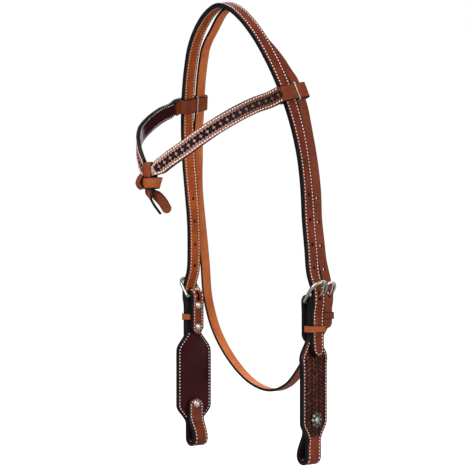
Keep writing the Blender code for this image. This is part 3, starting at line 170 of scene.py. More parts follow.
# A concho's face from its rim inwards: shares of its radius, of its rise and of its lobes
CONCHO_SHAPE = (
    (0.985, 0.30, 1), (0.96, 0.52, 1), (0.93, 0.56, 1), (0.90, 0.50, 1), (0.86, 0.36, 0.8),
    (0.80, 0.42, 0.6), (0.74, 0.50, 0.4), (0.68, 0.54, 0.3), (0.62, 0.52, 0.2), (0.56, 0.46, 0.1),
    (0.53, 0.38, 0), (0.50, 0.36, 0), (0.48, 0.46, 0), (0.46, 0.56, 0), (0.43, 0.66, 0), (0.39, 0.76, 0),
    (0.33, 0.86, 0), (0.26, 0.93, 0), (0.19, 0.97, 0), (0.11, 0.99, 0), (0.05, 1.0, 0), (0.003, 1.0, 0),
)
STRAND = SEAT + THONG_PLY / 2
WRAP_HALF_DEPTH = STRAND + THONG_PLY / 2 + 2 * SEAT
LAP_WIDER, TAIL_WIDER, LAP_SWELL = 2.4 * MM, 0.4 * MM, 0.8 * MM
# The turn beside the wrap, in mm across, outward and up from the wrap's corner
TURN_ROUTE = ((8.0, 1.3, 8.2), (6.9, 2.0, 6.4), (5.4, 2.6, 3.8), (4.2, 2.9, 1.7), (3.8, 3.0, 0.6),
              (4.3, 3.0, -0.6), (6.2, 2.6, -3.2), (8.2, 1.6, -5.4))
TURN_HALF_WIDTH, TURN_TIP_HALF_WIDTH = 3.5 * MM, 2.4 * MM
PALE_FROM = (0.01, 0.10)                # along the browband, where it turns pale
# Black paint of the browband's stamps, also used for the shade painted in its stitches' grooves and between its beads
BLACK_PAINT_AND_SHADE = (0.004, 0.0035, 0.003)
FLOOR_REACH, FLOOR_SEEN, FLOOR_GLOW, FLOOR_PLAIN = 12.0, 0.34, 0.93, 0.40

# The photograph's camera
VIEW_AZIMUTH = math.radians(50.0)
VIEW_DISTANCE, VIEW_SHIFT, VIEW_HEIGHT = 1.605, 0.0138, -0.2516
FOCAL_PIXELS, IMAGE_SIDE, HORIZON_BELOW_MIDDLE, SENSOR = 1479.0, 470, 4.0, 36.0


# ---------------------------------------------------------------- numbers
def ease(value, low, high):
    """0 below low, 1 above high and a smooth rise between."""
    share = np.clip((value - low) / (high - low), 0, 1)
    return share * share * (3 - 2 * share)


def plateau(value, low, high, fall, end):
    """0 below low, 1 from high to fall, and 0 again above end."""
    return ease(value, low, high) * (1 - ease(value, fall, end))


def mix(a, b, share):
    return a + (b - a) * share


def unit(vectors):
    vectors = np.asarray(vectors, float)
    return vectors / np.maximum(np.linalg.norm(vectors, axis=-1, keepdims=True), 1e-12)


def drops(start, stop, step):
    count = max(1, math.ceil(abs(stop - start) / step))
    return [mix(start, stop, i / count) for i in range(count + 1)]


def smooth_path(points, subdivisions=10):
    """A smooth curve through points that may be unevenly spaced."""
    points = np.asarray(points, float)
    spans = np.linalg.norm(np.diff(points, axis=0), axis=1)[:, None]
    rises = np.diff(points, axis=0) / spans
    slopes = np.empty_like(points)
    slopes[0], slopes[-1] = rises[0], rises[-1]
    slopes[1:-1] = (rises[:-1] * spans[1:] + rises[1:] * spans[:-1]) / (spans[:-1] + spans[1:])
    t = (np.arange(subdivisions) / subdivisions)[None, :, None]
    a, b = points[:-1, None], points[1:, None]
    leave, arrive = (slopes[:-1] * spans)[:, None], (slopes[1:] * spans)[:, None]
    path = (a * (2 * t ** 3 - 3 * t ** 2 + 1) + leave * (t ** 3 - 2 * t ** 2 + t)
            + b * (3 * t ** 2 - 2 * t ** 3) + arrive * (t ** 3 - t ** 2))
    return np.vstack([path.reshape(-1, 3), points[-1:]])


def side_point(side, base, x, y, z):
    return (side * (base[0] + x), base[1] + y, base[2] + z)


def neck_shift(drop, on_bar, below):
    return mix(on_bar, below, ease(drop, 0, NECK_SETTLE))


def cheek_settle(side):
    """Turns the cheekpiece's paddle and what lies on it about the cheek's upright line."""
    def settle(points):
        drop = CHEEK_BAR[2] - points[..., 2]
        angle = CHEEK_TURN * (ease(drop, SHOULDER_END - 1.5 * TURN_END, SHOULDER_END + TURN_END / 2)
                              - ease(drop, PADDLE_END + TURN_END / 2, PADDLE_END + 1.75 * TURN_END))
        x, y = side * points[..., 0] - CHEEK_BAR[0], points[..., 1] - CHEEK_BAR[1]
        return np.stack([side * (CHEEK_BAR[0] + x * np.cos(angle) - y * np.sin(angle)),
                         CHEEK_BAR[1] + x * np.sin(angle) + y * np.cos(angle), points[..., 2]], -1)
    return settle


def crown_settle(points):
    near, off = cheek_settle(1)(points), cheek_settle(-1)(points)
    return np.where(points[..., :1] > 0, near, off)


# ---------------------------------------------------------------- strap lines
class Line:
    """A strap's middle line with its width direction and its outward face at any distance along it."""

    def __init__(self, points, across, side=1, settle=None):
        self.points = np.asarray(points, float)
        self.lengths = np.concatenate([[0], np.cumsum(np.linalg.norm(np.diff(self.points, axis=0), axis=1))])
        self.length = self.lengths[-1]
        tangent = unit(np.gradient(self.points, self.lengths, axis=0))
        found = np.array([across(p, d) for p, d in zip(self.points, self.lengths)], float)
        self.across = unit(found - tangent * (found * tangent).sum(1, keepdims=True))
        self.out = np.cross(self.across, tangent) * side
        self.settle = settle

    def read(self, rows, along):
        return np.stack([np.interp(along, self.lengths, rows[:, k]) for k in range(3)], -1)

    def frame(self, along):
        """The unsettled middle, width direction and outward direction at a distance."""
        return self.read(self.points, along), unit(self.read(self.across, along)), unit(self.read(self.out, along))

    def at(self, along, across=0.0, out=0.0):
        """Settled points at distances along, across and outward of the line."""
        along, across, out = np.broadcast_arrays(*(np.asarray(v, float) for v in (along, across, out)))
        middle, wide, face = self.frame(along)
        points = middle + wide * across[..., None] + face * out[..., None]
        return self.settle(points) if self.settle else points

    def nearest(self, point):
        return self.lengths[np.argmin(np.linalg.norm(self.points - np.asarray(point), axis=1))]


class FlippedLine:
    """A strap's line with its inward face taken as the outward one."""

    def __init__(self, line):
        self.line, self.length = line, line.length

    def at(self, along, across=0.0, out=0.0):
        return self.line.at(along, across, -np.asarray(out))


def crown_across(point, distance):
    share = (STRAP_HALF - point[2]) / CROWN_DROP
    angle = CROWN_TURN * plateau(share, 0.4, 0.6, 0.62, 0.82)
    tilt = CROWN_TILT * (1 - ease(share, 0.4, 0.85))
    return (-math.copysign(math.sin(angle), point[0]), math.cos(angle) * math.cos(tilt), math.sin(tilt))


def upright(bar, start, stop, step, reach, on_bar=None):
    """Near-side points at drops below a bar: reach outward of it, and on_bar outward beside the bar itself."""
    return [side_point(1, bar, reach if on_bar is None else neck_shift(drop, on_bar, reach), 0, -drop)
            for drop in drops(start, stop, step)]


def crown_line():
    """From the near billet's tip over the poll to the off billet's tip."""
    near = [(HALF_SPAN * x, CROWN_SETBACK * y - STRAP_HALF * math.sin(CROWN_TILT) * (1 - y),
             STRAP_HALF * math.cos(CROWN_TILT) - CROWN_DROP * z) for x, y, z in CROWN_ROUTE]
    near += upright(CHEEK_BAR, -NECK_SETTLE / 2, NECK_SETTLE, NECK_SETTLE / 6, BILLET_ON_NECK, BILLET_ON_BAR)
    near += upright(CHEEK_BAR, NECK_SETTLE, BILLET_BELOW_BAR, BILLET_STEP, BILLET_ON_NECK)[1:]
    return Line(smooth_path(near[:0:-1] + [(-x, y, z) for x, y, z in near]), crown_across, settle=crown_settle)


def crown_spot(crown, side, drop):
    """The distance along the crown strap at a height on one side."""
    half = len(crown.points) // 2
    own = slice(0, half) if side > 0 else slice(half, None)
    return crown.lengths[own][np.argmin(np.abs(crown.points[own, 2] + drop))]


def throat_line(crown):
    """From the near billet's tip over the poll, down the off side, under the throat and up to the fold."""
    def shares(rows):
        return [(HALF_SPAN * x, CROWN_SETBACK * y, -CROWN_DROP * z) for x, y, z in rows]

    def beside(side, rows):
        return [crown.frame(crown_spot(crown, side, CROWN_DROP * drop))[0]
                + np.array([side * HALF_SPAN * outward, (STRAP_WIDTH + THROAT_WIDTH) / 2 + STRAP_SPACING * spacing, 0])
                for drop, outward, spacing in rows]

    points = upright(THROAT_BAR, THROAT_BILLET_BELOW_BAR, NECK_SETTLE, BILLET_STEP, THROAT_ON_STRAND)
    points += upright(THROAT_BAR, NECK_SETTLE, -NECK_SETTLE / 4, NECK_SETTLE / 6, THROAT_ON_STRAND, THROAT_ON_BAR)[1:]
    points += shares(THROAT_BILLET) + beside(1, NEAR_THROAT[::-1])
    low = BROW_LOOP_DROP + BROW_WIDTH / 2
    start, stop = crown_spot(crown, 1, low), crown_spot(crown, -1, low)
    for i in range(POLL_STEPS + 1):
        share = i / POLL_STEPS
        point, across, out = crown.frame(mix(start, stop, share))
        tuck = THROAT_TUCK * plateau(share, 0.12, 0.32, 0.38, 0.66)
        under = (THROAT_PLY + 2 * SEAT) * (ease(share, 0.075, 0.14) - ease(share, 0.64, 0.76))
        points.append(point + across * (THROAT_OFFSET - tuck) - out * (STRAP_HALF - THROAT_PLY / 2 + under))
    points += beside(-1, OFF_THROAT) + shares(THROAT_ARC)
    step = NECK_SETTLE / 4
    points += upright(THROAT_BAR, THROAT_CHAPE_LENGTH, NECK_SETTLE, step, THROAT_STRAND)
    points += upright(THROAT_BAR, NECK_SETTLE, 0, step, THROAT_STRAND, THROAT_FOLD_MIDDLE)[1:]
    points += [side_point(1, THROAT_BAR, THROAT_FOLD_MIDDLE * math.cos(math.pi * k / 10), 0,
                          THROAT_FOLD_MIDDLE * math.sin(math.pi * k / 10)) for k in range(1, 10)]
    points += upright(THROAT_BAR, 0, NECK_SETTLE, step, -THROAT_STRAND, -THROAT_FOLD_MIDDLE)
    points.append(side_point(1, THROAT_BAR, -THROAT_STRAND, 0, -THROAT_CHAPE_LENGTH))

    def across(point, distance):
        if point[2] < -CROWN_DROP * 0.98:
            return 0, 1, 0
        side = 1 if point[0] > 0 else -1
        own = crown.frame(crown_spot(crown, side, -point[2]))[1]
        share = -point[2] / CROWN_DROP
        turn = OFF_THROAT_TURN * plateau(share, 0.42, 0.6, 0.8, 0.98) if side < 0 else 0
        keep = 1 - ease(share, 0.42, 0.6)
        return own * keep + np.array([turn, 1 - keep, 0])

    return Line(smooth_path(points), across)


class LoopFrame:
    """The place of a browband loop on the crown strap."""

    def __init__(self, crown, side):
        self.centre, self.back, self.out = crown.frame(crown_spot(crown, side, BROW_LOOP_DROP))
        self.up = np.cross(self.back, self.out) * side
        self.up = self.up * math.copysign(1, self.up[2])

    def point(self, back, out, up=0.0):
        return self.centre + self.back * back + self.out * out + self.up * up


def brow_line(loop, side):
    half = STRAP_WIDTH / 2
    fall = KNOT_DROP - BROW_LOOP_DROP
    lap = BROW_PLY + SEAT if side > 0 else 0
    points = [loop.point(-half - SEAT, BROW_ON_LOOP), loop.point(-half - BROW_LOOP_LEAD, BROW_ON_LOOP)]
    points += [(side * HALF_SPAN * x, -KNOT_FRONT * y, -BROW_LOOP_DROP - fall * z) for x, y, z in BROW_ROUTE]
    points += [(side * KNOT_LAP / 2 * share, -KNOT_FRONT - lap, -KNOT_DROP) for share in (1.25, 0.5, 0, -1.0)]

    def across(point, distance):
        turn = ease(distance, BROW_LOOP_TUCK[1], BROW_LOOP_TUCK[1] + BROW_TURN_LENGTH)
        return loop.up * (1 - turn) + np.array([0, 0, turn])

    return Line(smooth_path(points), across, side)


def loop_line(loop, brow, side):
    front = -STRAP_WIDTH / 2
    corner = THROAT_OFFSET + THROAT_WIDTH / 2 - LOOP_HALF / 3
    places = [(front - BROW_LOOP_LEAD + SEAT, LOOP_MIDDLE), (0, LOOP_MIDDLE), (-front, LOOP_MIDDLE),
              (corner - LOOP_HALF, LOOP_MIDDLE)]
    places += [(corner + LOOP_MIDDLE * math.sin(a), LOOP_MIDDLE * math.cos(a)) for a in np.linspace(0, math.pi, 9)]
    places += [(corner - LOOP_HALF, -LOOP_MIDDLE), (-front, -LOOP_MIDDLE), (0, -LOOP_MIDDLE),
               (front - 2 * SEAT, -LOOP_MIDDLE)]
    points = [loop.point(back, out) for back, out in places]
    under = BROW_HALF + 2 * SEAT + BROW_PLY / 2
    for i in range(5):
        point, across, out = brow.frame(mix(*BROW_LOOP_TUCK, i / 4))
        points.append(point - out * under)
    return Line(smooth_path(points), lambda point, distance: loop.up, -side)


def knot_line():
    """From the near tail's tip up through the wrap, over the browband's lap and down to the off tail's tip."""
    middle = np.array([0, -KNOT_FRONT, -KNOT_DROP])
    arc_radius = BROW_PLY + SEAT / 2 + 1.5 * SEAT + THONG_PLY / 2
    arc_lift = KNOT_LAP_HALF_HEIGHT - arc_radius / 8
    wrap_low = WRAP_DROP + WRAP_HEIGHT / 2
    settled = wrap_low - WRAP_HEIGHT / 4
    near_tail, off_tail = ([middle + np.array([0, sign * STRAND, -wrap_low]) + np.array([x, y, -z]) * TAIL_DROP
                            for x, y, z in rows] for sign, rows in ((1, NEAR_TAIL), (-1, OFF_TAIL)))
    foot = KNOT_LAP_HALF_HEIGHT + 2 * SEAT
    side = [(STRAND, -wrap_low)]
    side += [(mix(arc_radius, STRAND, ease(drop, foot, settled)), -drop) for drop in drops(settled, foot, SEAT * 6)]
    side.append((arc_radius, 0))
    body = side + [(arc_radius * math.cos(a), arc_lift + arc_radius * math.sin(a)) for a in np.linspace(0, math.pi, 9)]
    aside = [0] * len(body) + [LAP_ASIDE * math.exp(-((z + foot) / foot) ** 2) for y, z in side[::-1]]
    body += [(-y, z) for y, z in side[::-1]]
    points = near_tail[::-1] + [middle + np.array([x, y, z]) for x, (y, z) in zip(aside, body)] + off_tail
    path = smooth_path(points)
    split = np.linalg.norm(np.diff(path, axis=0), axis=1).sum() / 2

    def across(point, distance):
        fall = (middle[2] - wrap_low - point[2]) / TAIL_DROP
        near = distance < split
        angle = NEAR_TAIL_TURN * ease(fall, 0.0, 0.36) if near else OFF_TAIL_TURN * ease(fall, 0.1, 0.5)
        return -math.cos(angle), -math.sin(angle), 0

    return Line(path, across)


def round_tip(radius, gone):
    """Half width of a round end at a distance from its tip."""
    return max(math.sqrt(max(radius ** 2 - (radius - gone) ** 2, 0)), radius / 8)


def cheek_line(side):
    """The folded cheekpiece: chape, fold, neck, paddle, tail, bit loop and tab. Its halves are its half widths."""
    neck, tail = STRAP_WIDTH / 2, TAIL_HALF_WIDTH
    bottom = CHEEK_LENGTH - STRAP_HALF - LOOP_RADIUS
    turns = np.linspace(0, math.pi, 25)[1:-1]
    # Rows of (outward, up, half width) from the bar
    found = [(mix(TAB_MIDDLE, CHAPE_MIDDLE, min(1, gone / neck)), -(CHAPE_LENGTH - gone), round_tip(neck, gone))
             for gone in neck * (1 - np.cos(np.linspace(0, math.pi / 2, 12)))]
    found += [(CHAPE_MIDDLE, -drop, neck) for drop in drops(CHAPE_LENGTH - neck, NECK_SETTLE, 2 * MM)[1:]]
    found += [(-neck_shift(drop, FOLD_MIDDLE, -CHAPE_MIDDLE), -drop, neck) for drop in drops(NECK_SETTLE, 0, MM)[1:]]
    found += [(FOLD_MIDDLE * math.cos(a), FOLD_MIDDLE * math.sin(a), neck) for a in np.linspace(math.pi, 0, 25)[1:-1]]
    found += [(neck_shift(drop, FOLD_MIDDLE, NECK_MIDDLE), -drop, neck) for drop in drops(0, NECK_SETTLE, MM)]
    for drop in drops(NECK_SETTLE, bottom, 0.8 * MM)[1:]:
        half = mix(neck, PADDLE_HALF_WIDTH, ease(drop, NECK_LENGTH - OVERRUN / 2, SHOULDER_END))
        if drop > PADDLE_END:
            half = mix(PADDLE_HALF_WIDTH, tail, ease(drop, PADDLE_END, TAIL_START))
        found.append((NECK_MIDDLE, -drop, half))
    found += [(LOOP_CENTRE + LOOP_RADIUS * math.cos(a), -bottom - LOOP_RADIUS * math.sin(a), tail) for a in turns]
    found += [(mix(TAB_MIDDLE, LOOP_CENTRE - LOOP_RADIUS, ease(drop, LOOP_TOP, bottom)), -drop, tail)
              for drop in drops(bottom, LOOP_TOP, 2 * MM)]
    found += [(TAB_MIDDLE, -drop, tail) for drop in drops(LOOP_TOP, BIT_TAB_TOP + tail, 2 * MM)[1:]]
    found += [(TAB_MIDDLE, -(BIT_TAB_TOP + gone), round_tip(tail, gone))
              for gone in tail * (1 - np.cos(np.linspace(math.pi / 2, 0, 12)))[1:]]
    points = [side_point(side, CHEEK_BAR, x, 0, z) for x, z, half in found]
    line = Line(points, lambda point, distance: (0, 1, 0), -side, cheek_settle(side))
    line.halves = np.array([half for x, z, half in found])
    return line


# ---------------------------------------------------------------- meshes
def bare(points):
    """UV maps of a piece with no worn or tooled places."""
    return {"place": np.zeros((len(points), 2)), "wear": np.zeros((len(points), 2))}


def add_mesh(name, points, faces, materials, face_materials=None, maps=None, smooth=SHARP_ANGLE):
    """A piece from points and faces. maps holds a pair of numbers per point for each UV map."""
    mesh = bpy.data.meshes.new(name)
    faces = np.asarray(faces, np.int64)
    corners = points[faces]
    volume = np.einsum("ij,ij->i", corners[:, 0], np.cross(corners[:, 1], corners[:, 2])).sum()
    if faces.shape[1] == 4:
        volume += np.einsum("ij,ij->i", corners[:, 0], np.cross(corners[:, 2], corners[:, 3])).sum()
    if volume < 0:
        faces = faces[:, ::-1]
    mesh.from_pydata(points.tolist(), [], faces.tolist())
    for title, values in (maps or bare(points)).items():
        layer = mesh.uv_layers.new(name=title, do_init=False)
        layer.uv.foreach_set("vector", np.asarray(values, np.float32)[faces.ravel()].ravel())
    for finish in materials:
        mesh.materials.append(finish)
    if face_materials is not None:
        mesh.polygons.foreach_set("material_index", np.asarray(face_materials, np.int32))
    mesh.validate()
    mesh.shade_smooth()
    if smooth:
        mesh.set_sharp_from_angle(angle=smooth)
    made = bpy.data.objects.new(name, mesh)
    bpy.context.scene.collection.objects.link(made)
    return made


def ring_faces(count, sides, closed=False):
    """Quads between rings of points, and fans of thin quads over the two end rings unless the rings close."""
    ring = np.arange(count if closed else count - 1)[:, None]
    j = np.arange(sides)[None, :]
    after = (ring + 1) % count
    quads = np.stack([ring * sides + j, ring * sides + (j + 1) % sides,
                      after * sides + (j + 1) % sides, after * sides + j], -1).reshape(-1, 4)
    if closed:
        return quads
    caps = []
    for start, turn in ((0, -1), ((count - 1) * sides, 1)):
        for k in range(sides // 2 - 1):
            quad = [start + k, start + k + 1, start + sides - k - 2, start + sides - k - 1]
            caps.append(quad[::turn])
    return np.vstack([quads, caps])


def cut_out(piece, cutters):
    """Takes closed cutter bodies out of a piece. The cut walls are a little worn."""
    for points, faces in cutters:
        maps = {"place": np.zeros((len(points), 2)), "wear": np.tile([CUT_WEAR, 0.0], (len(points), 1))}
        guide = add_mesh(f"{piece.name}_cutter", points, faces, [piece.data.materials[0]], maps=maps)
        modifier = piece.modifiers.new("hole", "BOOLEAN")
        modifier.operation, modifier.solver, modifier.object = "DIFFERENCE", "EXACT", guide
        graph = bpy.context.evaluated_depsgraph_get()
        mesh = bpy.data.meshes.new_from_object(piece.evaluated_get(graph), depsgraph=graph)
        piece.modifiers.remove(modifier)
        spare = [piece.data, guide.data]
        piece.data = mesh
        bpy.data.objects.remove(guide)
        for old in spare:
            bpy.data.meshes.remove(old)
    piece.data.name = piece.name
    piece.data.set_sharp_from_angle(angle=SHARP_ANGLE)


def bore(line, spot, radius, reach, length=None, sides=20):
    """A cutter square to a strap: round, or a slot along it when it has a length."""
    point, across, out = line.frame(spot)
    along = np.cross(across, out)
    stretch = length / 2 - radius if length else 0
    rings = []
    for depth in (-reach, reach):
        for i in range(sides):
            angle = 2 * math.pi * (i + 0.5) / sides
            rings.append(point + out * depth + across * (radius * math.cos(angle))
                         + along * (radius * math.sin(angle) + math.copysign(stretch, math.sin(angle))))
    return np.array(rings), ring_faces(2, sides)


def fold_slot(side, bar, wide, high):
    """A cutter box through a fold for the buckle's tongue."""
    half = CHAPE_SLOT_WIDTH / 2
    points = [side_point(side, bar, x, y, z) for z in (-CHAPE_SLOT_DROP, high)
              for x, y in ((-wide, -half), (wide, -half), (wide, half), (-wide, half))]
    return np.array(points), ring_faces(2, 4)


def end_rows(start, stop, count):
    """Distances that crowd towards both ends of a strap, where it is rounded."""
    near_ends = END_REACH * (1 - np.cos(np.linspace(0, math.pi / 2, count)))
    return [start + near_ends, stop - near_ends]


class Skin:
    """A leather body swept along a strap's line, and what lies on it."""

    def __init__(self, line, half, low, high, stop=None, start=0.0, round_face=PLY_ROUND, round_back=0.0):
        self.line, self.low, self.high = line, low, high
        self.start, self.stop = start, line.length if stop is None else stop
        self.half = half if callable(half) else (lambda along: np.full(np.shape(along), float(half)))
        self.round_face, self.round_back = round_face, round_back

    def columns(self, half, insets, inner, radius, height, sign):
        """Places across one face, from the -half edge to the +half edge, as (across, out, inset)."""
        scale = np.minimum(1, half / FULL_HALF)
        radius = radius * scale
        rows = []
        for k in range(4):
            angle = math.pi / 2 * k / 3
            rows.append((radius * (1 - math.cos(angle)), height - sign * radius * (1 - math.sin(angle))))
        rows += [(inset * scale, height + 0 * half) for inset in insets if inset > self.round_face * 1.05]
        margin = insets[-1] * scale
        left = [(-(half - inset), out, inset) for inset, out in rows]
        middle = [((2 * k / inner - 1) * (half - margin), height + 0 * half,
                   half - np.abs((2 * k / inner - 1) * (half - margin))) for k in range(1, inner)]
        right = [(half - inset, out, inset) for inset, out in rows[::-1]]
        return left + middle + right

    def build(self, name, materials, step=2 * MM, insets=PLAIN_INSETS, inner=6, relief=None, stations=()):
        """Makes the mesh. relief(along, across, inset) is a height and a depth of shade for the outer face."""
        inner += 1 - inner % 2
        u = np.linspace(self.start, self.stop, max(2, int((self.stop - self.start) / step)))
        u = np.unique(np.concatenate([u, stations, *end_rows(self.start, self.stop, 16)]))
        u = u[np.concatenate([[True], np.diff(u) > 1e-5])]
        half = self.half(u)
        face = self.columns(half, insets, inner, self.round_face, self.high, 1)
        if self.round_back:
            back = self.columns(half, PLAIN_INSETS, 3, self.round_back, self.low, -1)
        else:
            back = [(-half, self.low + 0 * half, 0 * half), (half, self.low + 0 * half, 0 * half)]
        ring = face + back[::-1]
        across, out, inset = (np.stack([row[k] + 0 * u for row in ring], 1) for k in range(3))
        on_face = np.arange(len(ring)) < len(face)
        along = np.repeat(u[:, None], len(ring), 1)
        rim = 1 - ease(inset, *RIM_FADE)
        shade = np.zeros_like(rim)
        if relief:
            height, dark = relief(along[:, on_face], across[:, on_face], inset[:, on_face])
            fade = ease(inset[:, on_face], *RELIEF_FADE)
            out[:, on_face] += height * fade
            shade[:, on_face] = dark * fade
        points = self.line.at(along, across, out)
        n, m = across.shape
        faces = ring_faces(n, m)
        between = on_face & np.roll(on_face, -1)
        kinds = np.where(np.concatenate([np.tile(between, n - 1), np.ones(len(faces) - (n - 1) * m, bool)]), 0, 1)
        maps = {"place": np.stack([along, across], -1).reshape(-1, 2),
                "wear": np.stack([rim, shade], -1).reshape(-1, 2)}
        return add_mesh(name, points.reshape(-1, 3), faces, materials, kinds if len(materials) > 1 else None, maps)

    def seam(self, inset, start=None, stop=None, rounded=(False, False)):
        """A stitch line on each side as (along, across) rows, that goes round the ends that are rounded."""
        start, stop = self.start if start is None else start, self.stop if stop is None else stop
        u = np.unique(np.concatenate([np.linspace(start, stop, 1500), *end_rows(start, stop, 60)]))
        half = self.half(u)
        slope = np.gradient(half, u)
        size = np.sqrt(1 + slope ** 2)
        rows = np.stack([u + slope / size * inset, half - inset / size], 1)
        rows = rows[(rows[:, 1] > 0.15 * MM) & (rows[:, 0] >= start) & (rows[:, 0] <= stop)]
        rows = rows[np.argsort(rows[:, 0], kind="stable")]
        other = rows * [1, -1]
        if rounded[0] and rounded[1]:
            return [np.vstack([rows, other[::-1], rows[:1]])]
        if rounded[0]:
            return [np.vstack([rows[::-1], other])]
        if rounded[1]:
            return [np.vstack([rows, other[::-1]])]
        return [rows, other]


def stitches(context, node, line, seams, out, sign, body, slot_name, pitch=None):
    """Rows of thread stitches. seams are (along, across) rows, and out is how far from the line they lie."""
    work = settings_of(context).work
    pitch = pitch or work.stitch_pitch
    reach = work.stitch_length / 2 * (pitch / work.stitch_pitch)
    places = []
    for rows in seams:
        gone = np.concatenate([[0], np.cumsum(np.linalg.norm(np.diff(rows, axis=0), axis=1))])
        count = max(1, int(gone[-1] / pitch))
        middle = (np.arange(count) + 0.5) * gone[-1] / count
        places.append([[np.interp(np.clip(middle + move, 0, gone[-1]), gone, rows[:, k]) for k in (0, 1)]
                       for move in (-reach, 0, reach)])
    places = np.concatenate(places, axis=2)
    start, centre, stop = (line.at(u, v, out) for u, v in places)
    face = unit(line.at(places[1][0], places[1][1], out + MM) - centre) * sign
    length = np.linalg.norm(stop - start, axis=1)[:, None, None]
    along = unit(stop - start)[:, None, None]
    wide = unit(np.cross(face[:, None, None], along))
    # Along one stitch, as shares of its length and of the thread's half width
    ends = [(0.5, 0.0), (0.46, 0.45), (0.34, 0.86), (0.12, 1.0)]
    shares = np.array([(-run, swell) for run, swell in ends] + ends[::-1])
    angle = 2 * math.pi * np.arange(8) / 8
    run = length * shares[None, :, :1]
    swell = work.thread / 2 * shares[None, :, 1:]
    sideways = swell * np.cos(angle) + run * 0.1
    rise = (swell * np.sin(angle) * 0.55 - shares[None, :, :1] ** 2 * work.thread * 0.8)
    points = (centre[:, None, None] + along * run[..., None] + wide * sideways[..., None]
              + face[:, None, None] * rise[..., None])
    one = ring_faces(len(shares), len(angle))
    faces = (np.arange(len(centre))[:, None, None] * len(shares) * len(angle) + one[None]).reshape(-1, 4)
    made = add_mesh(f"{node}_stitches", points.reshape(-1, 3), faces, [material(context, "thread")], smooth=None)
    dress(made, body, slot_name)


def tube_mesh(path, radius, flat_normal, sides=16, closed=True):
    """Round wire along points, with a radius for all of them or for each."""
    path = np.asarray(path, float)
    tangent = unit(np.roll(path, -1, 0) - np.roll(path, 1, 0) if closed else np.gradient(path, axis=0))
    side = unit(np.broadcast_to(np.asarray(flat_normal, float), path.shape))
    side = unit(side - tangent * (side * tangent).sum(1, keepdims=True))
    lift = np.cross(tangent, side)
    angle = 2 * math.pi * np.arange(sides) / sides
    radii = np.broadcast_to(np.asarray(radius, float), (len(path),))
    points = (path[:, None] + radii[:, None, None] * (side[:, None] * np.cos(angle)[None, :, None]
              + lift[:, None] * np.sin(angle)[None, :, None]))
    return points.reshape(-1, 3), ring_faces(len(path), sides, closed)


def turned_mesh(profile, centre, axis, sides=32, lobes=0, lobe_depth=0.0, wave=None):
    """A body turned from (along, radius, lobe share) rows. wave(radius, angle, height) is a height to add."""
    axis = unit(axis)
    spoke = unit(np.array([0, 0, 1.0]) - axis * axis[2])
    other = np.cross(axis, spoke)
    profile = np.array([(p + (0,))[:3] for p in profile], float)
    angle = 2 * math.pi * np.arange(sides) / sides
    reach = profile[:, 1:2] - lobe_depth * profile[:, 2:3] * (1 - np.cos(lobes * angle))[None] / 2
    height = np.repeat(profile[:, :1], sides, 1)
    if wave:
        height = height + wave(reach, angle[None] + 0 * reach, height)
    points = (np.asarray(centre) + axis * height[..., None] + reach[..., None]
              * (spoke * np.cos(angle)[None, :, None] + other * np.sin(angle)[None, :, None]))
    return points.reshape(-1, 3), ring_faces(len(profile), sides)


def round_corners(half_x, half_y, radius, steps):
    """A rectangle's outline with round corners, as (x, y, angle, x sign, y sign) rows."""
    rows = []
    for quarter, (x, y) in enumerate(((1, 1), (-1, 1), (-1, -1), (1, -1))):
        for k in range(steps + 1):
            angle = math.pi / 2 * (quarter + k / steps)
            rows.append((x * (half_x - radius) + radius * math.cos(angle),
                         y * (half_y - radius) + radius * math.sin(angle), angle, x, y))
    return rows


def hoop_mesh(half_x, half_y, wall, height, centre, corner, flare=0.0, dark=0.75 * MM):
    """An upright leather loop with rounded walls, as rings round its rectangular outline, with its UV maps."""
    outline = [np.array([(x, y, 0), (math.cos(angle), math.sin(angle), 0), (x_sign * flare, y_sign * flare, 0)])
               for x, y, angle, x_sign, y_sign in round_corners(half_x, half_y, corner / 2, 8)]
    longer = []
    for first, second in zip(outline, outline[1:] + outline[:1]):
        count = max(1, int(np.linalg.norm(second[0] - first[0]) / MM))
        longer += [mix(first, second, i / count) for i in range(count)]
    base, spokes, flares = np.array(longer).transpose(1, 0, 2)
    spokes = unit(spokes)
    gone = np.concatenate([[0], np.cumsum(np.linalg.norm(np.diff(base, axis=0), axis=1))])
    section = [(wall / 2 + x, z) for x, z, *rest in round_corners(wall / 2, height / 2, wall * 0.35, 3)]
    marks = []
    for (w, z), (next_w, next_z) in zip(section, section[1:] + section[:1]):
        marks.append((w, z))
        if abs(next_z - z) > height / 2:
            marks += [(mix(w, next_w, t), mix(z, next_z, t)) for t in (0.08, 0.2, 0.5, 0.8, 0.92)]
    section = np.array(marks)
    points = (np.asarray(centre) + base[:, None] + spokes[:, None] * section[None, :, :1]
              + flares[:, None] * (section[None, :, 1:] / height + 0.5) + np.array([0, 0, 1.0]) * section[None, :, 1:])
    rim = ease(np.abs(section[:, 1]), height / 2 - dark, height / 2 - dark / 3)
    columns = np.broadcast_arrays(gone[:, None], section[None, :, 1], rim[None], 0.0)
    place, wear = np.stack(columns[:2], -1).reshape(-1, 2), np.stack(columns[2:], -1).reshape(-1, 2)
    return points.reshape(-1, 3), ring_faces(len(base), len(section), True), {"place": place, "wear": wear}


def dress(piece, body, slot_name, node=None):
    """The piece rides on a body, and takes a CAD node's place where one is named."""
    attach(piece, body)
    if node:
        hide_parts(node)


def make_piece(context, name, shape, look, body, slot_name, node=None, smooth=SHARP_ANGLE):
    """A piece of one material from its points, its faces and, where it has them, its UV maps."""
    points, faces, *maps = shape
    piece = add_mesh(name, points, faces, [material(context, look)], maps=maps[0] if maps else None, smooth=smooth)
    dress(piece, body, slot_name, node)


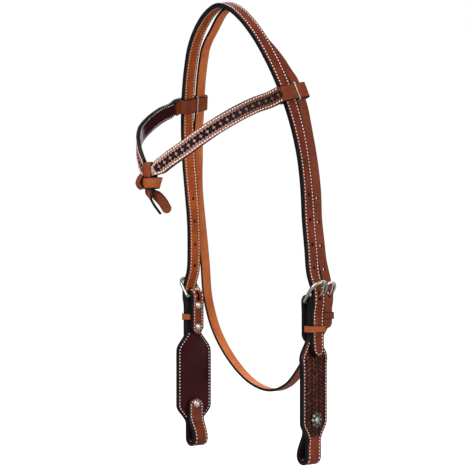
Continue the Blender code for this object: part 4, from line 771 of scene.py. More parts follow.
def make_ply(context, node, line, half, outer, sign, looks, insets, relief, seam, step=2.2 * MM, inner=6,
             span=(0.0, None), cutters=(), stations=(), pitch=None):
    """One ply of a doubled strap: worked and stitched on its shown face, and flat against the other ply.

    sign is 1 for the ply outside the line and -1 for the one inside. looks holds the material, the body and a
    slot name, which is not used.
    """
    look, body, slot_name = looks
    skin = Skin(line if sign > 0 else FlippedLine(line), half, SEAT / 2, outer, span[1], span[0])
    piece = skin.build(f"{node}_skin", [material(context, look)], step, insets, inner, relief, stations)
    if cutters:
        cut_out(piece, cutters)
    dress(piece, body, slot_name, node)
    stitches(context, node, line, skin.seam(*seam), (outer - THREAD_SUNK) * sign, sign, body, slot_name, pitch)


# ---------------------------------------------------------------- shader maths
class Value:
    """A socket that can be used in sums. Each operation adds its Math node."""

    def __init__(self, finish, socket):
        self.finish, self.socket = finish, socket

    def math(self, operation, *values):
        return self.finish.node("ShaderNodeMath", {"operation": operation}, dict(enumerate(values)))

    def __add__(self, other):
        return self.math("ADD", self, other)

    def __sub__(self, other):
        return self.math("SUBTRACT", self, other)

    def __rsub__(self, other):
        return self.math("SUBTRACT", other, self)

    def __mul__(self, other):
        return self.math("MULTIPLY", self, other)

    __radd__, __rmul__ = __add__, __mul__

    def smooth(self, low, high):
        """0 below low, 1 above high, with a smooth rise."""
        return self.finish.node("ShaderNodeMapRange", {"interpolation_type": "SMOOTHSTEP", "clamp": True},
                                {"Value": self, "From Min": low, "From Max": high})


class Nodes:
    """A node tree that node() adds to."""

    def __init__(self, owner):
        owner.use_nodes = True
        self.tree = owner.node_tree

    def node(self, kind, settings=None, values=None, output=0):
        made = self.tree.nodes.new(kind)
        for key, value in (settings or {}).items():
            setattr(made, key, value)
        for key, value in (values or {}).items():
            self.feed(made.inputs[key], value)
        return Value(self, made.outputs[output])

    def feed(self, socket, value):
        if isinstance(value, Value):
            self.tree.links.new(value.socket, socket)
        elif isinstance(value, (tuple, list)) and socket.type == "RGBA" and len(value) == 3:
            socket.default_value = (*value, 1)
        else:
            socket.default_value = value


class Finish(Nodes):
    """One material. shader() sets the sockets of its Principled shader."""

    def __init__(self, name):
        self.material = bpy.data.materials.new(name)
        super().__init__(self.material)
        self.principled = self.tree.nodes["Principled BSDF"]

    def shader(self, **values):
        for key, value in values.items():
            self.feed(self.principled.inputs[key.replace("_", " ").title().replace("Ior", "IOR")], value)
        return self.material

    def colour(self, a, b, share):
        """Between two colours by a share."""
        return self.node("ShaderNodeMix", {"data_type": "RGBA"}, {0: share, 6: a, 7: b}, output=2)

    def position(self):
        return self.node("ShaderNodeTexCoord", output="Object")

    def noise(self, scale, detail=3.0, rough=0.6, distortion=0.0):
        return self.node("ShaderNodeTexNoise", {}, {"Vector": self.position(), "Scale": scale, "Detail": detail,
                                                    "Roughness": rough, "Distortion": distortion})

    def cells(self, scale):
        return self.node("ShaderNodeTexVoronoi", {}, {"Vector": self.position(), "Scale": scale})

    def map(self, name):
        """The two numbers of a UV map."""
        first = self.node("ShaderNodeSeparateXYZ", {}, {0: self.node("ShaderNodeUVMap", {"uv_map": name})})
        return first, Value(self, first.socket.node.outputs[1])

    def bump(self, height, distance, strength):
        return self.node("ShaderNodeBump", {}, {"Height": height, "Distance": distance, "Strength": strength})


def darker(colour, share):
    return tuple(c * share for c in colour)


def leather_finish(name, deep, light, edge, gloss=0.42, tooled=0.6, near_knot=None, painted_sheen=None, shine=0.12):
    """Grain leather: mottled colour, fine pores, burnished rims, dark tooling and painted shade in the stitches'
    grooves.

    near_knot is the paler colour of the browband's far end, whose tooling is painted black. painted_sheen is
    a painted sheen: a pale colour mixed into the base where the leather is seen at a low angle.
    """
    finish = Finish(name)
    rim, depth = finish.map("wear")
    mottle, fine = finish.noise(38.0, 4.0), finish.noise(420.0)
    streak = finish.noise(150.0, 2.0, 0.5, 1.5)
    body = finish.colour(deep, light, (mottle * 0.65 + streak * 0.25 + fine * 0.25).smooth(0.38, 0.80))
    if near_knot:
        along, across = finish.map("place")
        body = finish.colour(body, near_knot, along.smooth(*PALE_FROM) * (0.70 + fine * 0.35))
    speck = finish.cells(900.0).smooth(0.05, 0.45)
    body = finish.colour(darker(deep, 0.55), body, 0.45 + speck * 0.55)
    if near_knot:
        blotch = finish.cells(520.0).smooth(0.25, 0.75)
        body = finish.colour(darker(deep, 0.6), body, 0.45 + blotch * 0.55)
    # Dark stain in the tooling, black paint in the browband's stamps, and painted shade in the stitches' grooves
    stain_and_painted_shade = BLACK_PAINT_AND_SHADE if near_knot else darker(deep, 0.10)
    body = finish.colour(body, stain_and_painted_shade, depth.smooth(0.06, 0.66) * tooled)
    # Painted sheen: a pale colour mixed into the base colour where the leather is seen at a low angle
    if painted_sheen:
        facing = finish.node("ShaderNodeLayerWeight", {}, {"Blend": 0.5}, output=1)
        body = finish.colour(body, painted_sheen, facing.smooth(0.54, 0.86) * (0.6 + fine * 0.4))
    worn = (rim + (fine - 0.5) * 0.5).smooth(0.25, 0.75)
    scuff = finish.noise(90.0, 5.0, 0.65)
    rough = gloss + (scuff - 0.5) * 0.22 + (1 - speck) * 0.10 - worn * 0.06 + depth.smooth(0.1, 0.7) * 0.25
    grain = speck * 0.6 + fine * 0.5 + finish.noise(1500.0, 2.0, 0.5) * 0.25
    return finish.shader(base_color=finish.colour(body, edge, worn), roughness=rough, coat_roughness=0.3,
                         coat_weight=(0.06 - worn * 0.03) * (shine / 0.12), specular_ior_level=shine,
                         normal=finish.bump(grain, 0.00016, 0.55))


def flesh_finish(name, deep, light, edge):
    """The matte back of leather, with short fibres."""
    finish = Finish(name)
    rim, depth = finish.map("wear")
    cloud, fibre = finish.noise(55.0, 4.0), finish.noise(700.0, 3.0, 0.7, 2.0)
    body = finish.colour(deep, light, (cloud * 0.6 + fibre * 0.4).smooth(0.30, 0.72))
    worn = (rim + (fibre - 0.5) * 0.5).smooth(0.30, 0.75)
    return finish.shader(base_color=finish.colour(body, edge, worn), specular_ior_level=0.1,
                         roughness=0.62 + (fibre - 0.5) * 0.2 - worn * 0.16, normal=finish.bump(fibre, 0.00022, 0.6))


def thread_finish(name, colour):
    """Waxed thread: pale, twisted and a little soiled."""
    finish = Finish(name)
    twist, soil = finish.noise(1900.0, 2.0, 0.5, 1.0), finish.noise(70.0)
    base = finish.colour(darker(colour, 0.70), colour, (twist * 0.5 + soil * 0.6).smooth(0.26, 0.58))
    return finish.shader(base_color=base, roughness=0.55 + twist * 0.15, specular_ior_level=0.4,
                         normal=finish.bump(twist, 0.0002, 0.7))


def metal_finish(name, bright, dark, patina, gloss=0.34):
    """Nickel plate: fine scratches, with a patina in its hollows when it is antiqued."""
    finish = Finish(name)
    rim, depth = finish.map("wear")
    cloud, scratch = finish.noise(240.0, 4.0), finish.noise(2600.0, 2.0, 0.5, 3.0)
    grime = (depth + (cloud - 0.5) * 0.5).smooth(0.25, 0.85) * patina
    base = finish.colour(bright, dark, grime + (cloud - 0.45).smooth(0.0, 0.5) * patina * 0.25)
    return finish.shader(base_color=base, metallic=1.0, roughness=gloss + cloud * 0.12 + grime * 0.35,
                         normal=finish.bump(scratch * 0.4 + cloud, 0.00004, 0.35))


# ---------------------------------------------------------------- settings
def colour_property(name, description, default):
    return FloatVectorProperty(name=name, description=description, default=default, subtype="COLOR", size=3, min=0,
                               max=1)


def length_property(name, description, default):
    return FloatProperty(name=name, description=description, default=default, min=0, unit="LENGTH", precision=5)


def power_property(name, description, default):
    return FloatProperty(name=name, description=description, default=default, min=0, unit="POWER")


class StitchSettings(bpy.types.PropertyGroup):
    """Sizes of the stitching, the tooling and the stamps."""
    stitch_pitch: length_property("Stitch pitch", "From one stitch to the next", 0.0035)
    stitch_length: length_property("Stitch length", "Length of thread that shows", 0.0021)
    thread: length_property("Thread", "Width of the thread", 0.00112)
    seam_inset: length_property("Seam inset", "From a strap's edge to its stitches", 0.0026)
    groove: length_property("Stitch groove", "Depth of the groove that the stitches lie in", 0.00028)
    braid_pitch: length_property("Braid pitch", "From one stroke of the braid tooling to the next", 0.0046)
    braid_width: length_property("Braid width", "Width of one broad column of the braid", 0.0110)
    braid_depth: length_property("Braid depth", "Depth of the cheekpiece's tooling", 0.00085)
    stamp_pitch: length_property("Stamp pitch", "From one browband stamp to the next", 0.0079)
    stamp_depth: length_property("Stamp depth", "Depth of the browband's stamps", 0.0006)


class LeatherColours(bpy.types.PropertyGroup):
    """Colours of the leathers and of the thread."""
    russet: colour_property("Russet", "Grain side of the throatlatch, the loops and the knot", (0.245, 0.052, 0.018))
    russet_deep: colour_property("Deep russet", "Darker mottling of the russet leather", (0.135, 0.025, 0.010))
    crown: colour_property("Crown", "Outer ply of the crown strap", (0.205, 0.040, 0.017))
    crown_deep: colour_property("Deep crown", "Darker mottling of the outer ply", (0.095, 0.018, 0.009))
    lining: colour_property("Lining", "Inner ply of the crown strap", (0.460, 0.100, 0.021))
    lining_deep: colour_property("Deep lining", "Darker mottling of the inner ply", (0.250, 0.046, 0.010))
    tan: colour_property("Tan", "Inside of the throatlatch and the loops", (0.640, 0.185, 0.056))
    tan_deep: colour_property("Deep tan", "Darker mottling of the inside", (0.420, 0.100, 0.026))
    burgundy: colour_property("Burgundy", "Lining of the cheekpieces and browband", (0.052, 0.009, 0.012))
    burgundy_deep: colour_property("Deep burgundy", "Darker mottling of the lining", (0.028, 0.005, 0.007))
    # A painted sheen: the pale colour mixed into the lining where it is seen at a low angle
    sheen: colour_property("Sheen", "Lining where it is seen at a low angle", (0.74, 0.63, 0.61))
    tooled: colour_property("Tooled", "Raised parts of the tooled cheekpieces", (0.250, 0.047, 0.018))
    tooled_deep: colour_property("Deep tooled", "Darker mottling of the tooled leather", (0.115, 0.018, 0.009))
    brow: colour_property("Browband", "Browband's ground beside its loops", (0.230, 0.058, 0.032))
    brow_pale: colour_property("Pale browband", "Browband's ground near the knot", (0.560, 0.290, 0.250))
    keeper: colour_property("Keeper", "Keepers and the knot's wrap", (0.410, 0.098, 0.026))
    edge: colour_property("Edge", "Burnished black edges", (0.006, 0.006, 0.007))
    thread: colour_property("Thread", "Waxed thread", (0.930, 0.840, 0.740))


class MetalColours(bpy.types.PropertyGroup):
    """Colours of the hardware."""
    nickel: colour_property("Nickel", "Bright plate", (0.640, 0.570, 0.520))
    antique: colour_property("Antique nickel", "Buckles and conchos", (0.400, 0.388, 0.350))
    patina: colour_property("Patina", "Dark hollows of the antiqued pieces", (0.030, 0.026, 0.020))


class StageSettings(bpy.types.PropertyGroup):
    """The lights and the floor."""
    key: power_property("Key light", "Power of the large lamp", 36.0)
    fill: power_property("Fill light", "Power of the lamps at the other side and behind", 14.0)
    ambient: FloatProperty(name="Ambient", description="Strength of the light from all round", default=0.24, min=0)
    floor_gap: length_property("Floor gap", "From the headstall's lowest point down to the floor", 0.03)


class HeadstallSettings(bpy.types.PropertyGroup):
    """Everything that a user would change."""
    work: PointerProperty(type=StitchSettings)
    leather: PointerProperty(type=LeatherColours)
    metal: PointerProperty(type=MetalColours)
    stage: PointerProperty(type=StageSettings)


def settings_of(context):
    return context.scene.headstall


# Of each leather: its finish, its darker colour or that colour's share of its own, and its options
LEATHERS = {
    "russet": (leather_finish, "russet_deep", {}),
    "crown": (leather_finish, "crown_deep", dict(gloss=0.56, shine=0.07)),
    "burgundy": (leather_finish, "burgundy_deep", dict(gloss=0.36, shine=0.04, painted_sheen="sheen")),
    "tooled": (leather_finish, "tooled_deep", dict(gloss=0.38, tooled=0.95)),
    "brow": (leather_finish, 0.75, dict(gloss=0.45, tooled=1.0, near_knot="brow_pale")),
    "keeper": (leather_finish, 0.62, {}),
    "tan": (flesh_finish, "tan_deep", {}),
    "lining": (flesh_finish, "lining_deep", {}),
}
ANTIQUING = {"nickel": 0.30, "antique": 0.95}


def material(context, name):
    """One of the finishes, made once."""
    title = "look_" + name
    found = bpy.data.materials.get(title)
    if found:
        return found
    settings = settings_of(context)
    colour = {key: tuple(getattr(group, key)) for group in (settings.leather, settings.metal)
              for key in group.__annotations__}
    if name == "thread":
        return thread_finish(title, colour[name])
    if name in ANTIQUING:
        return metal_finish(title, colour[name], colour["patina"], ANTIQUING[name])
    finish, deep, options = LEATHERS[name]
    deep = colour[deep] if deep in colour else tuple(c * deep for c in colour[name])
    options = {key: colour.get(value, value) for key, value in options.items()}
    return finish(title, deep, colour[name], colour["edge"], **options)


# ---------------------------------------------------------------- relief
def seam_dip(work, inset, where, shade):
    """The stitches' groove: its height, and the depth of the shade painted in it."""
    dip = -work.groove * np.exp(-((inset - where) / GROOVE_WIDTH) ** 2)
    return dip, -dip / max(work.groove, 1e-9) * shade


def stitch_relief(work):
    return lambda along, across, inset: seam_dip(work, inset, work.seam_inset, 0.4)


def braid_relief(work, first, last):
    """A braid of slanted strokes, narrow in the middle and broad beside it, inside a border of crescents."""
    def relief(along, across, inset):
        dip, dip_shade = seam_dip(work, inset, work.seam_inset, 0.4)
        half, away = np.abs(across) + inset, np.abs(across)
        narrow, broad = work.braid_width * 0.5, work.braid_width
        middle = away < narrow
        own = np.where(middle, away / narrow, (away - narrow) / broad)
        stroke = along / work.braid_pitch + np.where(middle, 1.05 * own, -1.5 * own) + np.where(across > 0, 0.5, 0.0)
        stroke = stroke + 0.15 * np.sin(along / (2.9 * MM) + 1.4 * np.sin(across / (2.1 * MM)))
        crest = np.abs(np.sin(math.pi * stroke)) * np.sin(math.pi * np.clip(own, 0.03, 0.97)) ** 0.4
        begin = ease(along, first, first + 2 * MM)
        inside = ease(inset, 4.1 * MM, 4.7 * MM) * ease(half, 10.5 * MM, 12.5 * MM)
        inside = inside * begin * (1 - ease(along, last - 2 * MM, last))
        border = np.exp(-((inset - 3.75 * MM) / (0.6 * MM)) ** 2) * np.abs(np.sin(math.pi * along / (2.4 * MM))) ** 0.8
        border = border * ease(half, 9.8 * MM, 11.0 * MM) * begin
        # Each stroke is cut a little deeper or shallower, by a number worked out from its place
        count = np.floor(stroke) + 17 * np.floor(across / narrow)
        chance = (np.sin(count * 12.9898) * 43758.5453) % 1
        crest = (crest * (0.64 + 0.36 * chance)) ** 0.64
        height = dip - inside * (1 - crest) * work.braid_depth - border * work.braid_depth * 0.6
        shade = np.maximum(inside * np.clip(1.7 * (1 - crest), 0.04, 1), border)
        return height, np.maximum(shade, dip_shade)
    return relief


def stamp_relief(work, length):
    """Black four-petalled stamps between rows of small beads."""
    def relief(along, across, inset):
        dip, dip_shade = seam_dip(work, inset, work.seam_inset * BROW_SEAM_SHARE, 0.35)
        x = np.abs((along / work.stamp_pitch) % 1 - 0.5) * work.stamp_pitch / MM
        y = np.abs(across) / MM
        turn = math.radians(48)
        run = (x - 1.80) * math.cos(turn) + (y - 2.05) * math.sin(turn)
        wide = (y - 2.05) * math.cos(turn) - (x - 1.80) * math.sin(turn)
        petal = 1 - np.sqrt((run / 2.25) ** 2 + (wide / 1.85) ** 2)
        heart = 1 - np.sqrt((x / 1.7) ** 2 + (y / 1.7) ** 2)
        inside = np.maximum(ease(petal, 0.0, 0.12), ease(heart, 0.0, 0.3))
        bead_x = (along / (2.6 * MM)) % 1 - 0.5
        row = (inset - 3.25 * MM) / (2.2 * MM)
        bead = np.clip(1.25 - (bead_x ** 2 + row ** 2) / 0.12, 0, 1)
        band = plateau(inset, 2.4 * MM, 2.7 * MM, 3.9 * MM, 4.2 * MM)
        ends = plateau(along, 3 * MM, 5 * MM, length - 5 * MM, length - 3 * MM)
        height = dip - inside * ends * work.stamp_depth - band * (1 - bead) * 0.3 * MM * ends
        shade = np.maximum(inside, band * (1 - bead) * 0.5) * ends
        return height, np.maximum(shade, dip_shade)
    return relief


def rounded_end(length, half, tip=0.1):
    """Half width of a strap with two round ends."""
    def width(along):
        inner = np.clip(1 - np.minimum(along, length - along) / half, 0, 1)
        return np.maximum(half * np.sqrt(np.clip(1 - inner ** 2, 0, 1)), half * tip)
    return width


def fittings(cheek, throat):
    """Each cheek's fitting and the throatlatch's: its name, its side and its own values."""
    return [(name, side, *cheek) for name, side in SIDES.items()] + [("throat", 1, *throat)]


# ---------------------------------------------------------------- operators
class HEADSTALL_OT_crown(bpy.types.Operator):
    """Make the two-ply crown strap with its stitching, adjusting holes and billets"""
    bl_idname = "headstall.crown"
    bl_label = "Crown strap"

    def execute(self, context):
        work = settings_of(context).work
        line = crown_line()
        half = rounded_end(line.length, STRAP_WIDTH / 2)
        inset = work.seam_inset
        insets = (1.7 * MM, inset - 0.5 * MM, inset, inset + 0.5 * MM, inset + MM)
        reach = STRAP_HALF + OVERRUN
        cutters = []
        for side in SIDES.values():
            for k in range(CROWN_HOLES):
                spot = line.nearest(side_point(side, CHEEK_BAR, 0, 0, FIRST_HOLE + k * HOLE_PITCH))
                cutters.append(bore(line, spot, HOLE_RADIUS, reach))
            wide, long, above = TONGUE_SLOT
            spot = line.nearest(side_point(side, CHEEK_BAR, BILLET_ON_BAR, 0, above))
            cutters.append(bore(line, spot, wide / 2, reach, long))
        for node, sign, looks in (("crown_outer", 1, ("crown", "straps", "russet_leather")),
                                  ("crown_lining", -1, ("lining", "straps", "tan_lining"))):
            make_ply(context, node, line, half, STRAP_HALF, sign, looks, insets, stitch_relief(work),
                     (inset, None, None, (True, True)), cutters=cutters)
        return {"FINISHED"}


class HEADSTALL_OT_throatlatch(bpy.types.Operator):
    """Make the single-ply throatlatch with its adjusting holes and its folded, stitched chape"""
    bl_idname = "headstall.throatlatch"
    bl_label = "Throatlatch"

    def execute(self, context):
        line = throat_line(crown_line())
        skin = Skin(line, rounded_end(line.length, THROAT_WIDTH / 2), -THROAT_PLY / 2, THROAT_PLY / 2,
                    round_back=PLY_ROUND)
        piece = skin.build("throatlatch_skin", [material(context, "russet"), material(context, "tan")],
                           insets=(1.7 * MM, 2.6 * MM))
        slot, last_hole = (line.lengths[np.argmax(line.points[:, 2] >= THROAT_BAR[2] + above)]
                           for above in (THROAT_SLOT[2], -THROAT_LAST_HOLE))
        spots = [slot + THROAT_FIRST_HOLE - THROAT_SLOT[2] + k * HOLE_PITCH for k in range(THROAT_HOLES)] + [last_hole]
        cutters = [bore(line, spot, HOLE_RADIUS, THROAT_PLY / 2 + SEAT * 0.6) for spot in spots]
        cutters.append(bore(line, slot, THROAT_SLOT[0] / 2, THROAT_PLY, THROAT_SLOT[1]))
        wide = THROAT_FOLD_INSIDE + THROAT_PLY + SEAT / 4
        cutters.append(fold_slot(1, THROAT_BAR, wide, wide + OVERRUN / 4))
        cut_out(piece, cutters)
        dress(piece, "straps", "dark_leather", "throatlatch")
        rows = skin.seam(2.2 * MM, line.length - THROAT_CHAPE_LENGTH + 9 * MM, line.length, (False, True))
        stitches(context, "throatlatch", line, rows, THROAT_PLY / 2 - THREAD_SUNK, 1, "straps", "dark_leather",
                 2.8 * MM)
        return {"FINISHED"}


class HEADSTALL_OT_browband(bpy.types.Operator):
    """Make the stamped browband halves, their linings, the loops on the crown strap and the wire staples"""
    bl_idname = "headstall.browband"
    bl_label = "Browband"

    def execute(self, context):
        work = settings_of(context).work
        crown = crown_line()
        seam, pitch = work.seam_inset * BROW_SEAM_SHARE, work.stitch_pitch * BROW_PITCH_SHARE
        for name, side in SIDES.items():
            loop = LoopFrame(crown, side)
            line = brow_line(loop, side)
            start, stop = BROW_LOOP_LEAD + SEAT, line.length - KNOT_LAP / 2 - BROW_FACE_STOP

            def half(along):
                gone = ease(line.length - along, KNOT_LAP, KNOT_LAP + KNOT_TAPER)
                return mix(KNOT_LAP_HALF_HEIGHT, BROW_WIDTH / 2, gone)

            insets = (1.35 * MM, seam - 0.3 * MM, seam, seam + 0.3 * MM, *np.arange(2.35, 4.4, 0.26) * MM)
            make_ply(context, f"{name}_browband_face", line, half, BROW_HALF, 1, ("brow", "browband", "brow_leather"),
                     insets, stamp_relief(work, stop), (seam, start + 2 * MM, stop - MM), 0.36 * MM, 30,
                     (start, stop), pitch=pitch)
            insets = (1.35 * MM, seam - 0.4 * MM, seam, seam + 0.4 * MM, seam + 0.8 * MM)
            make_ply(context, f"{name}_browband_lining", line, half, BROW_HALF, -1,
                     ("burgundy", "browband", "burgundy_leather"), insets, stitch_relief(work),
                     (seam, 14 * MM, stop - MM), 1.2 * MM, pitch=pitch)
            self.make_loop(context, loop, line, name, side)
        return {"FINISHED"}

    def make_loop(self, context, loop, brow, name, side):
        skin = Skin(loop_line(loop, brow, side), BROW_WIDTH / 2, -BROW_PLY / 2, BROW_PLY / 2,
                    round_face=THIN_ROUND, round_back=THIN_ROUND)
        piece = skin.build(f"{name}_brow_loop_skin", [material(context, "russet"), material(context, "tan")], MM,
                           inner=8)
        dress(piece, "browband", "russet_leather", f"{name}_brow_loop")
        gap = STRAP_WIDTH / 2 + STRAP_SPACING / 2
        reach = LOOP_MIDDLE + BROW_PLY / 2 + SEAT + DIVIDER_RADIUS
        outline = round_corners(reach, BROW_WIDTH / 2 + SEAT + DIVIDER_RADIUS, 1.5 * DIVIDER_RADIUS, 5)
        shape = tube_mesh([loop.point(gap, out, up) for out, up, *rest in outline], DIVIDER_RADIUS, loop.back, 12)
        make_piece(context, f"{name}_brow_staple_wire", shape, "nickel", "browband", "bright_nickel",
                   f"{name}_brow_staple")


class HEADSTALL_OT_knot(bpy.types.Operator):
    """Make the knot where the browband's halves meet: the folded thong, its tails and the wrap"""
    bl_idname = "headstall.knot"
    bl_label = "Knot"

    def execute(self, context):
        line = knot_line()
        plain = rounded_end(line.length, THONG_WIDTH / 2, 0.25)

        def over_lap(along):
            height = line.frame(along)[0][..., 2] + KNOT_DROP + KNOT_LAP_HALF_HEIGHT
            return ease(height, -4 * MM, MM)

        def half(along):
            fall = (-KNOT_DROP - WRAP_DROP - WRAP_HEIGHT / 2 - line.frame(along)[0][..., 2]) / TAIL_DROP
            return plain(along) + LAP_WIDER * over_lap(along) + TAIL_WIDER * plateau(fall, 0.02, 0.2, 0.3, 0.9)

        def swell(along, across, inset):
            share = across / (np.abs(across) + inset)
            return LAP_SWELL * (1 - share ** 2) * over_lap(along), 0 * across

        piece = self.make_thong(context, "knot_thong_skin", line, half, 0.6 * MM, 13, swell)
        dress(piece, "browband", "russet_leather", "knot_thong")
        shape = hoop_mesh(WRAP_HALF_WIDTH, WRAP_HALF_DEPTH, THONG_PLY, WRAP_HEIGHT,
                          (WRAP_SHIFT, -KNOT_FRONT, -KNOT_DROP - WRAP_DROP), 2 * THONG_PLY, WRAP_FLARE, 1.7 * MM)
        make_piece(context, "knot_wrap_skin", shape, "keeper", "browband", "keeper_leather", "knot_wrap")
        self.make_turn(context)
        return {"FINISHED"}

    def make_thong(self, context, name, line, half, step, inner, relief=None):
        skin = Skin(line, half, -THONG_PLY / 2, THONG_PLY / 2, round_face=THIN_ROUND, round_back=THIN_ROUND)
        return skin.build(name, [material(context, "russet")], step, inner=inner, relief=relief)

    def make_turn(self, context):
        """The thong's own end, bent out at the wrap's off front corner and tucked back in below it."""
        corner = np.array([WRAP_SHIFT - WRAP_HALF_WIDTH - THONG_PLY - WRAP_FLARE / 2,
                           -KNOT_FRONT - WRAP_HALF_DEPTH - THONG_PLY - WRAP_FLARE / 2, -KNOT_DROP - WRAP_DROP])
        points = [corner + np.array([x, -y, z]) * MM for x, y, z in TURN_ROUTE]

        def across(point, distance):
            lean = math.radians(mix(-40, 42, ease(corner[2] + 5 * MM - point[2], 0, 9 * MM)))
            return math.cos(lean), 0.12, math.sin(lean)

        def half(along):
            return mix(TURN_HALF_WIDTH, TURN_TIP_HALF_WIDTH, np.abs(along / line.length * 2 - 1) ** 2)

        line = Line(smooth_path(points), across, -1)
        piece = self.make_thong(context, "knot_turn", line, half, 0.5 * MM, 7)
        dress(piece, "browband", "keeper_leather")


class HEADSTALL_OT_cheekpieces(bpy.types.Operator):
    """Make the tooled and lined cheekpieces, folded over their buckles and into the bit loops"""
    bl_idname = "headstall.cheekpieces"
    bl_label = "Cheekpieces"

    def execute(self, context):
        work = settings_of(context).work
        inset = work.seam_inset
        insets = (1.6 * MM, inset - 0.4 * MM, inset, inset + 0.4 * MM, 3.4 * MM, 3.8 * MM, 4.2 * MM, 4.6 * MM,
                  5.0 * MM)
        for name, side in SIDES.items():
            line = cheek_line(side)

            def half(along):
                return np.interp(along, line.lengths, line.halves)

            first, last, seam_start, seam_stop = (line.nearest(side_point(side, CHEEK_BAR, NECK_MIDDLE, 0, -drop))
                                                  for drop in (NECK_LENGTH, TAIL_START, *LINING_SEAM))
            cutters = [fold_slot(side, CHEEK_BAR, FOLD_OUTSIDE + OVERRUN, FOLD_OUTSIDE + OVERRUN)]
            make_ply(context, f"{name}_cheek_outer", line, half, STRAP_HALF, 1, ("tooled", "straps", "tooled_leather"),
                     insets, braid_relief(work, first, last), (inset, None, None, (True, True)), 2 * MM, 72,
                     cutters=cutters, stations=np.arange(first, last, 0.42 * MM))
            make_ply(context, f"{name}_cheek_lining", line, half, STRAP_HALF, -1,
                     ("burgundy", "straps", "burgundy_leather"), insets, stitch_relief(work),
                     (inset, seam_start, seam_stop), 2 * MM, 10, cutters=cutters)
        return {"FINISHED"}


class HEADSTALL_OT_keepers(bpy.types.Operator):
    """Make the three leather keepers that hold the billets"""
    bl_idname = "headstall.keepers"
    bl_label = "Keepers"

    def execute(self, context):
        cheek = (CHEEK_BAR, SEAT / 2 - KEEPER_PLAY, BILLET_FACE + KEEPER_PLAY, STRAP_WIDTH, "keeper", "keeper_leather")
        throat = (THROAT_BAR, -THROAT_STRAND - THROAT_PLY / 2 - KEEPER_PLAY - SEAT,
                  THROAT_ON_STRAND + THROAT_PLY / 2 + KEEPER_PLAY + SEAT, THROAT_WIDTH, "russet", "dark_leather")
        for name, side, bar, low, high, width, look, slot_name in fittings(cheek, throat):
            centre = side_point(side, bar, (high + low) / 2, 0, -KEEPER_DROPS[name])
            shape = hoop_mesh((high - low) / 2, width / 2 + KEEPER_PLAY, KEEPER_WALL, KEEPER_HEIGHT, centre,
                              KEEPER_CORNER)
            make_piece(context, f"{name}_keeper_skin", shape, look, f"{name}_keeper", slot_name, f"{name}_keeper")
        return {"FINISHED"}


class HEADSTALL_OT_buckles(bpy.types.Operator):
    """Make the horseshoe buckle frames and their tongues"""
    bl_idname = "headstall.buckles"
    bl_label = "Buckles"

    def execute(self, context):
        cheek = (CHEEK_BAR, BUCKLE, "antique", "antique_nickel")
        throat = (THROAT_BAR, THROAT_BUCKLE, "nickel", "bright_nickel")
        for name, side, bar, size, look, slot_name in fittings(cheek, throat):
            base = np.array(side_point(side, bar, 0, 0, 0))
            lean = size["lean"]
            up, wide = np.array([side * math.sin(lean), 0, math.cos(lean)]), np.array([0, 1.0, 0])
            normal = np.array([side * math.cos(lean), 0, -math.sin(lean)])
            reach, corner = size["inside"] / 2 + size["wire"], size["corner"]
            leg = [(reach - corner + corner * math.cos(a), corner + corner * math.sin(a))
                   for a in np.linspace(-math.pi / 2, 0, 7)]
            leg += [(reach, mix(corner, size["leg"], k / 5)) for k in range(1, 5)]
            arch = [(reach * math.cos(a), size["leg"] + size["arch"] * math.sin(a))
                    for a in np.linspace(0, math.pi, 40)]
            outline = leg + arch + [(-y, z) for y, z in leg[::-1]]
            shape = tube_mesh([base + wide * y + up * z for y, z in outline], size["wire"], normal, 20)
            make_piece(context, f"{name}_buckle_frame_metal", shape, look, f"{name}_frame", slot_name,
                       f"{name}_buckle_frame")
            self.make_tongue(context, name, base, size, up, normal, look, slot_name)
        return {"FINISHED"}

    def make_tongue(self, context, name, base, size, up, normal, look, slot_name):
        """The prong, and the eye by which it turns on the bar."""
        scale = size["leg"] + size["arch"]
        route = smooth_path([base + (normal * lift + up * far) * scale for lift, far in size["route"]], 8)
        taper = np.ones(len(route))
        taper[-4:] = (0.96, 0.86, 0.66, 0.3)
        low = size["wire"] + SEAT
        high, half, bend = low + EYE_WALL, EYE_HALF_LENGTH, EYE_BEVEL
        section = [(low + bend, -half), (high - bend, -half), (high, -half + bend), (high, half - bend),
                   (high - bend, half), (low + bend, half), (low, half - bend), (low, -half + bend)]
        eye = [base + (up * math.cos(angle) + normal * math.sin(angle)) * radius + np.array([0, along, 0])
               for angle in np.linspace(0, 2 * math.pi, 40, endpoint=False) for radius, along in section]
        title = f"{name}_buckle_tongue"
        make_piece(context, f"{title}_eye", (np.array(eye), ring_faces(40, len(section), True)), look,
                   f"{name}_tongue", slot_name, title)
        prong = tube_mesh(route, size["tongue"] * taper, np.cross(normal, up), 14, False)
        make_piece(context, f"{title}_prong", prong, look, f"{name}_tongue", slot_name)


def dome_rows(base):
    """Rows of a screw's domed head, for turned_mesh."""
    return [(base + SCREW_HEAD_HEIGHT * math.sin(a), max(SCREW_HEAD_RADIUS * math.cos(a), AXIS))
            for a in np.linspace(0, math.pi / 2, 8)]


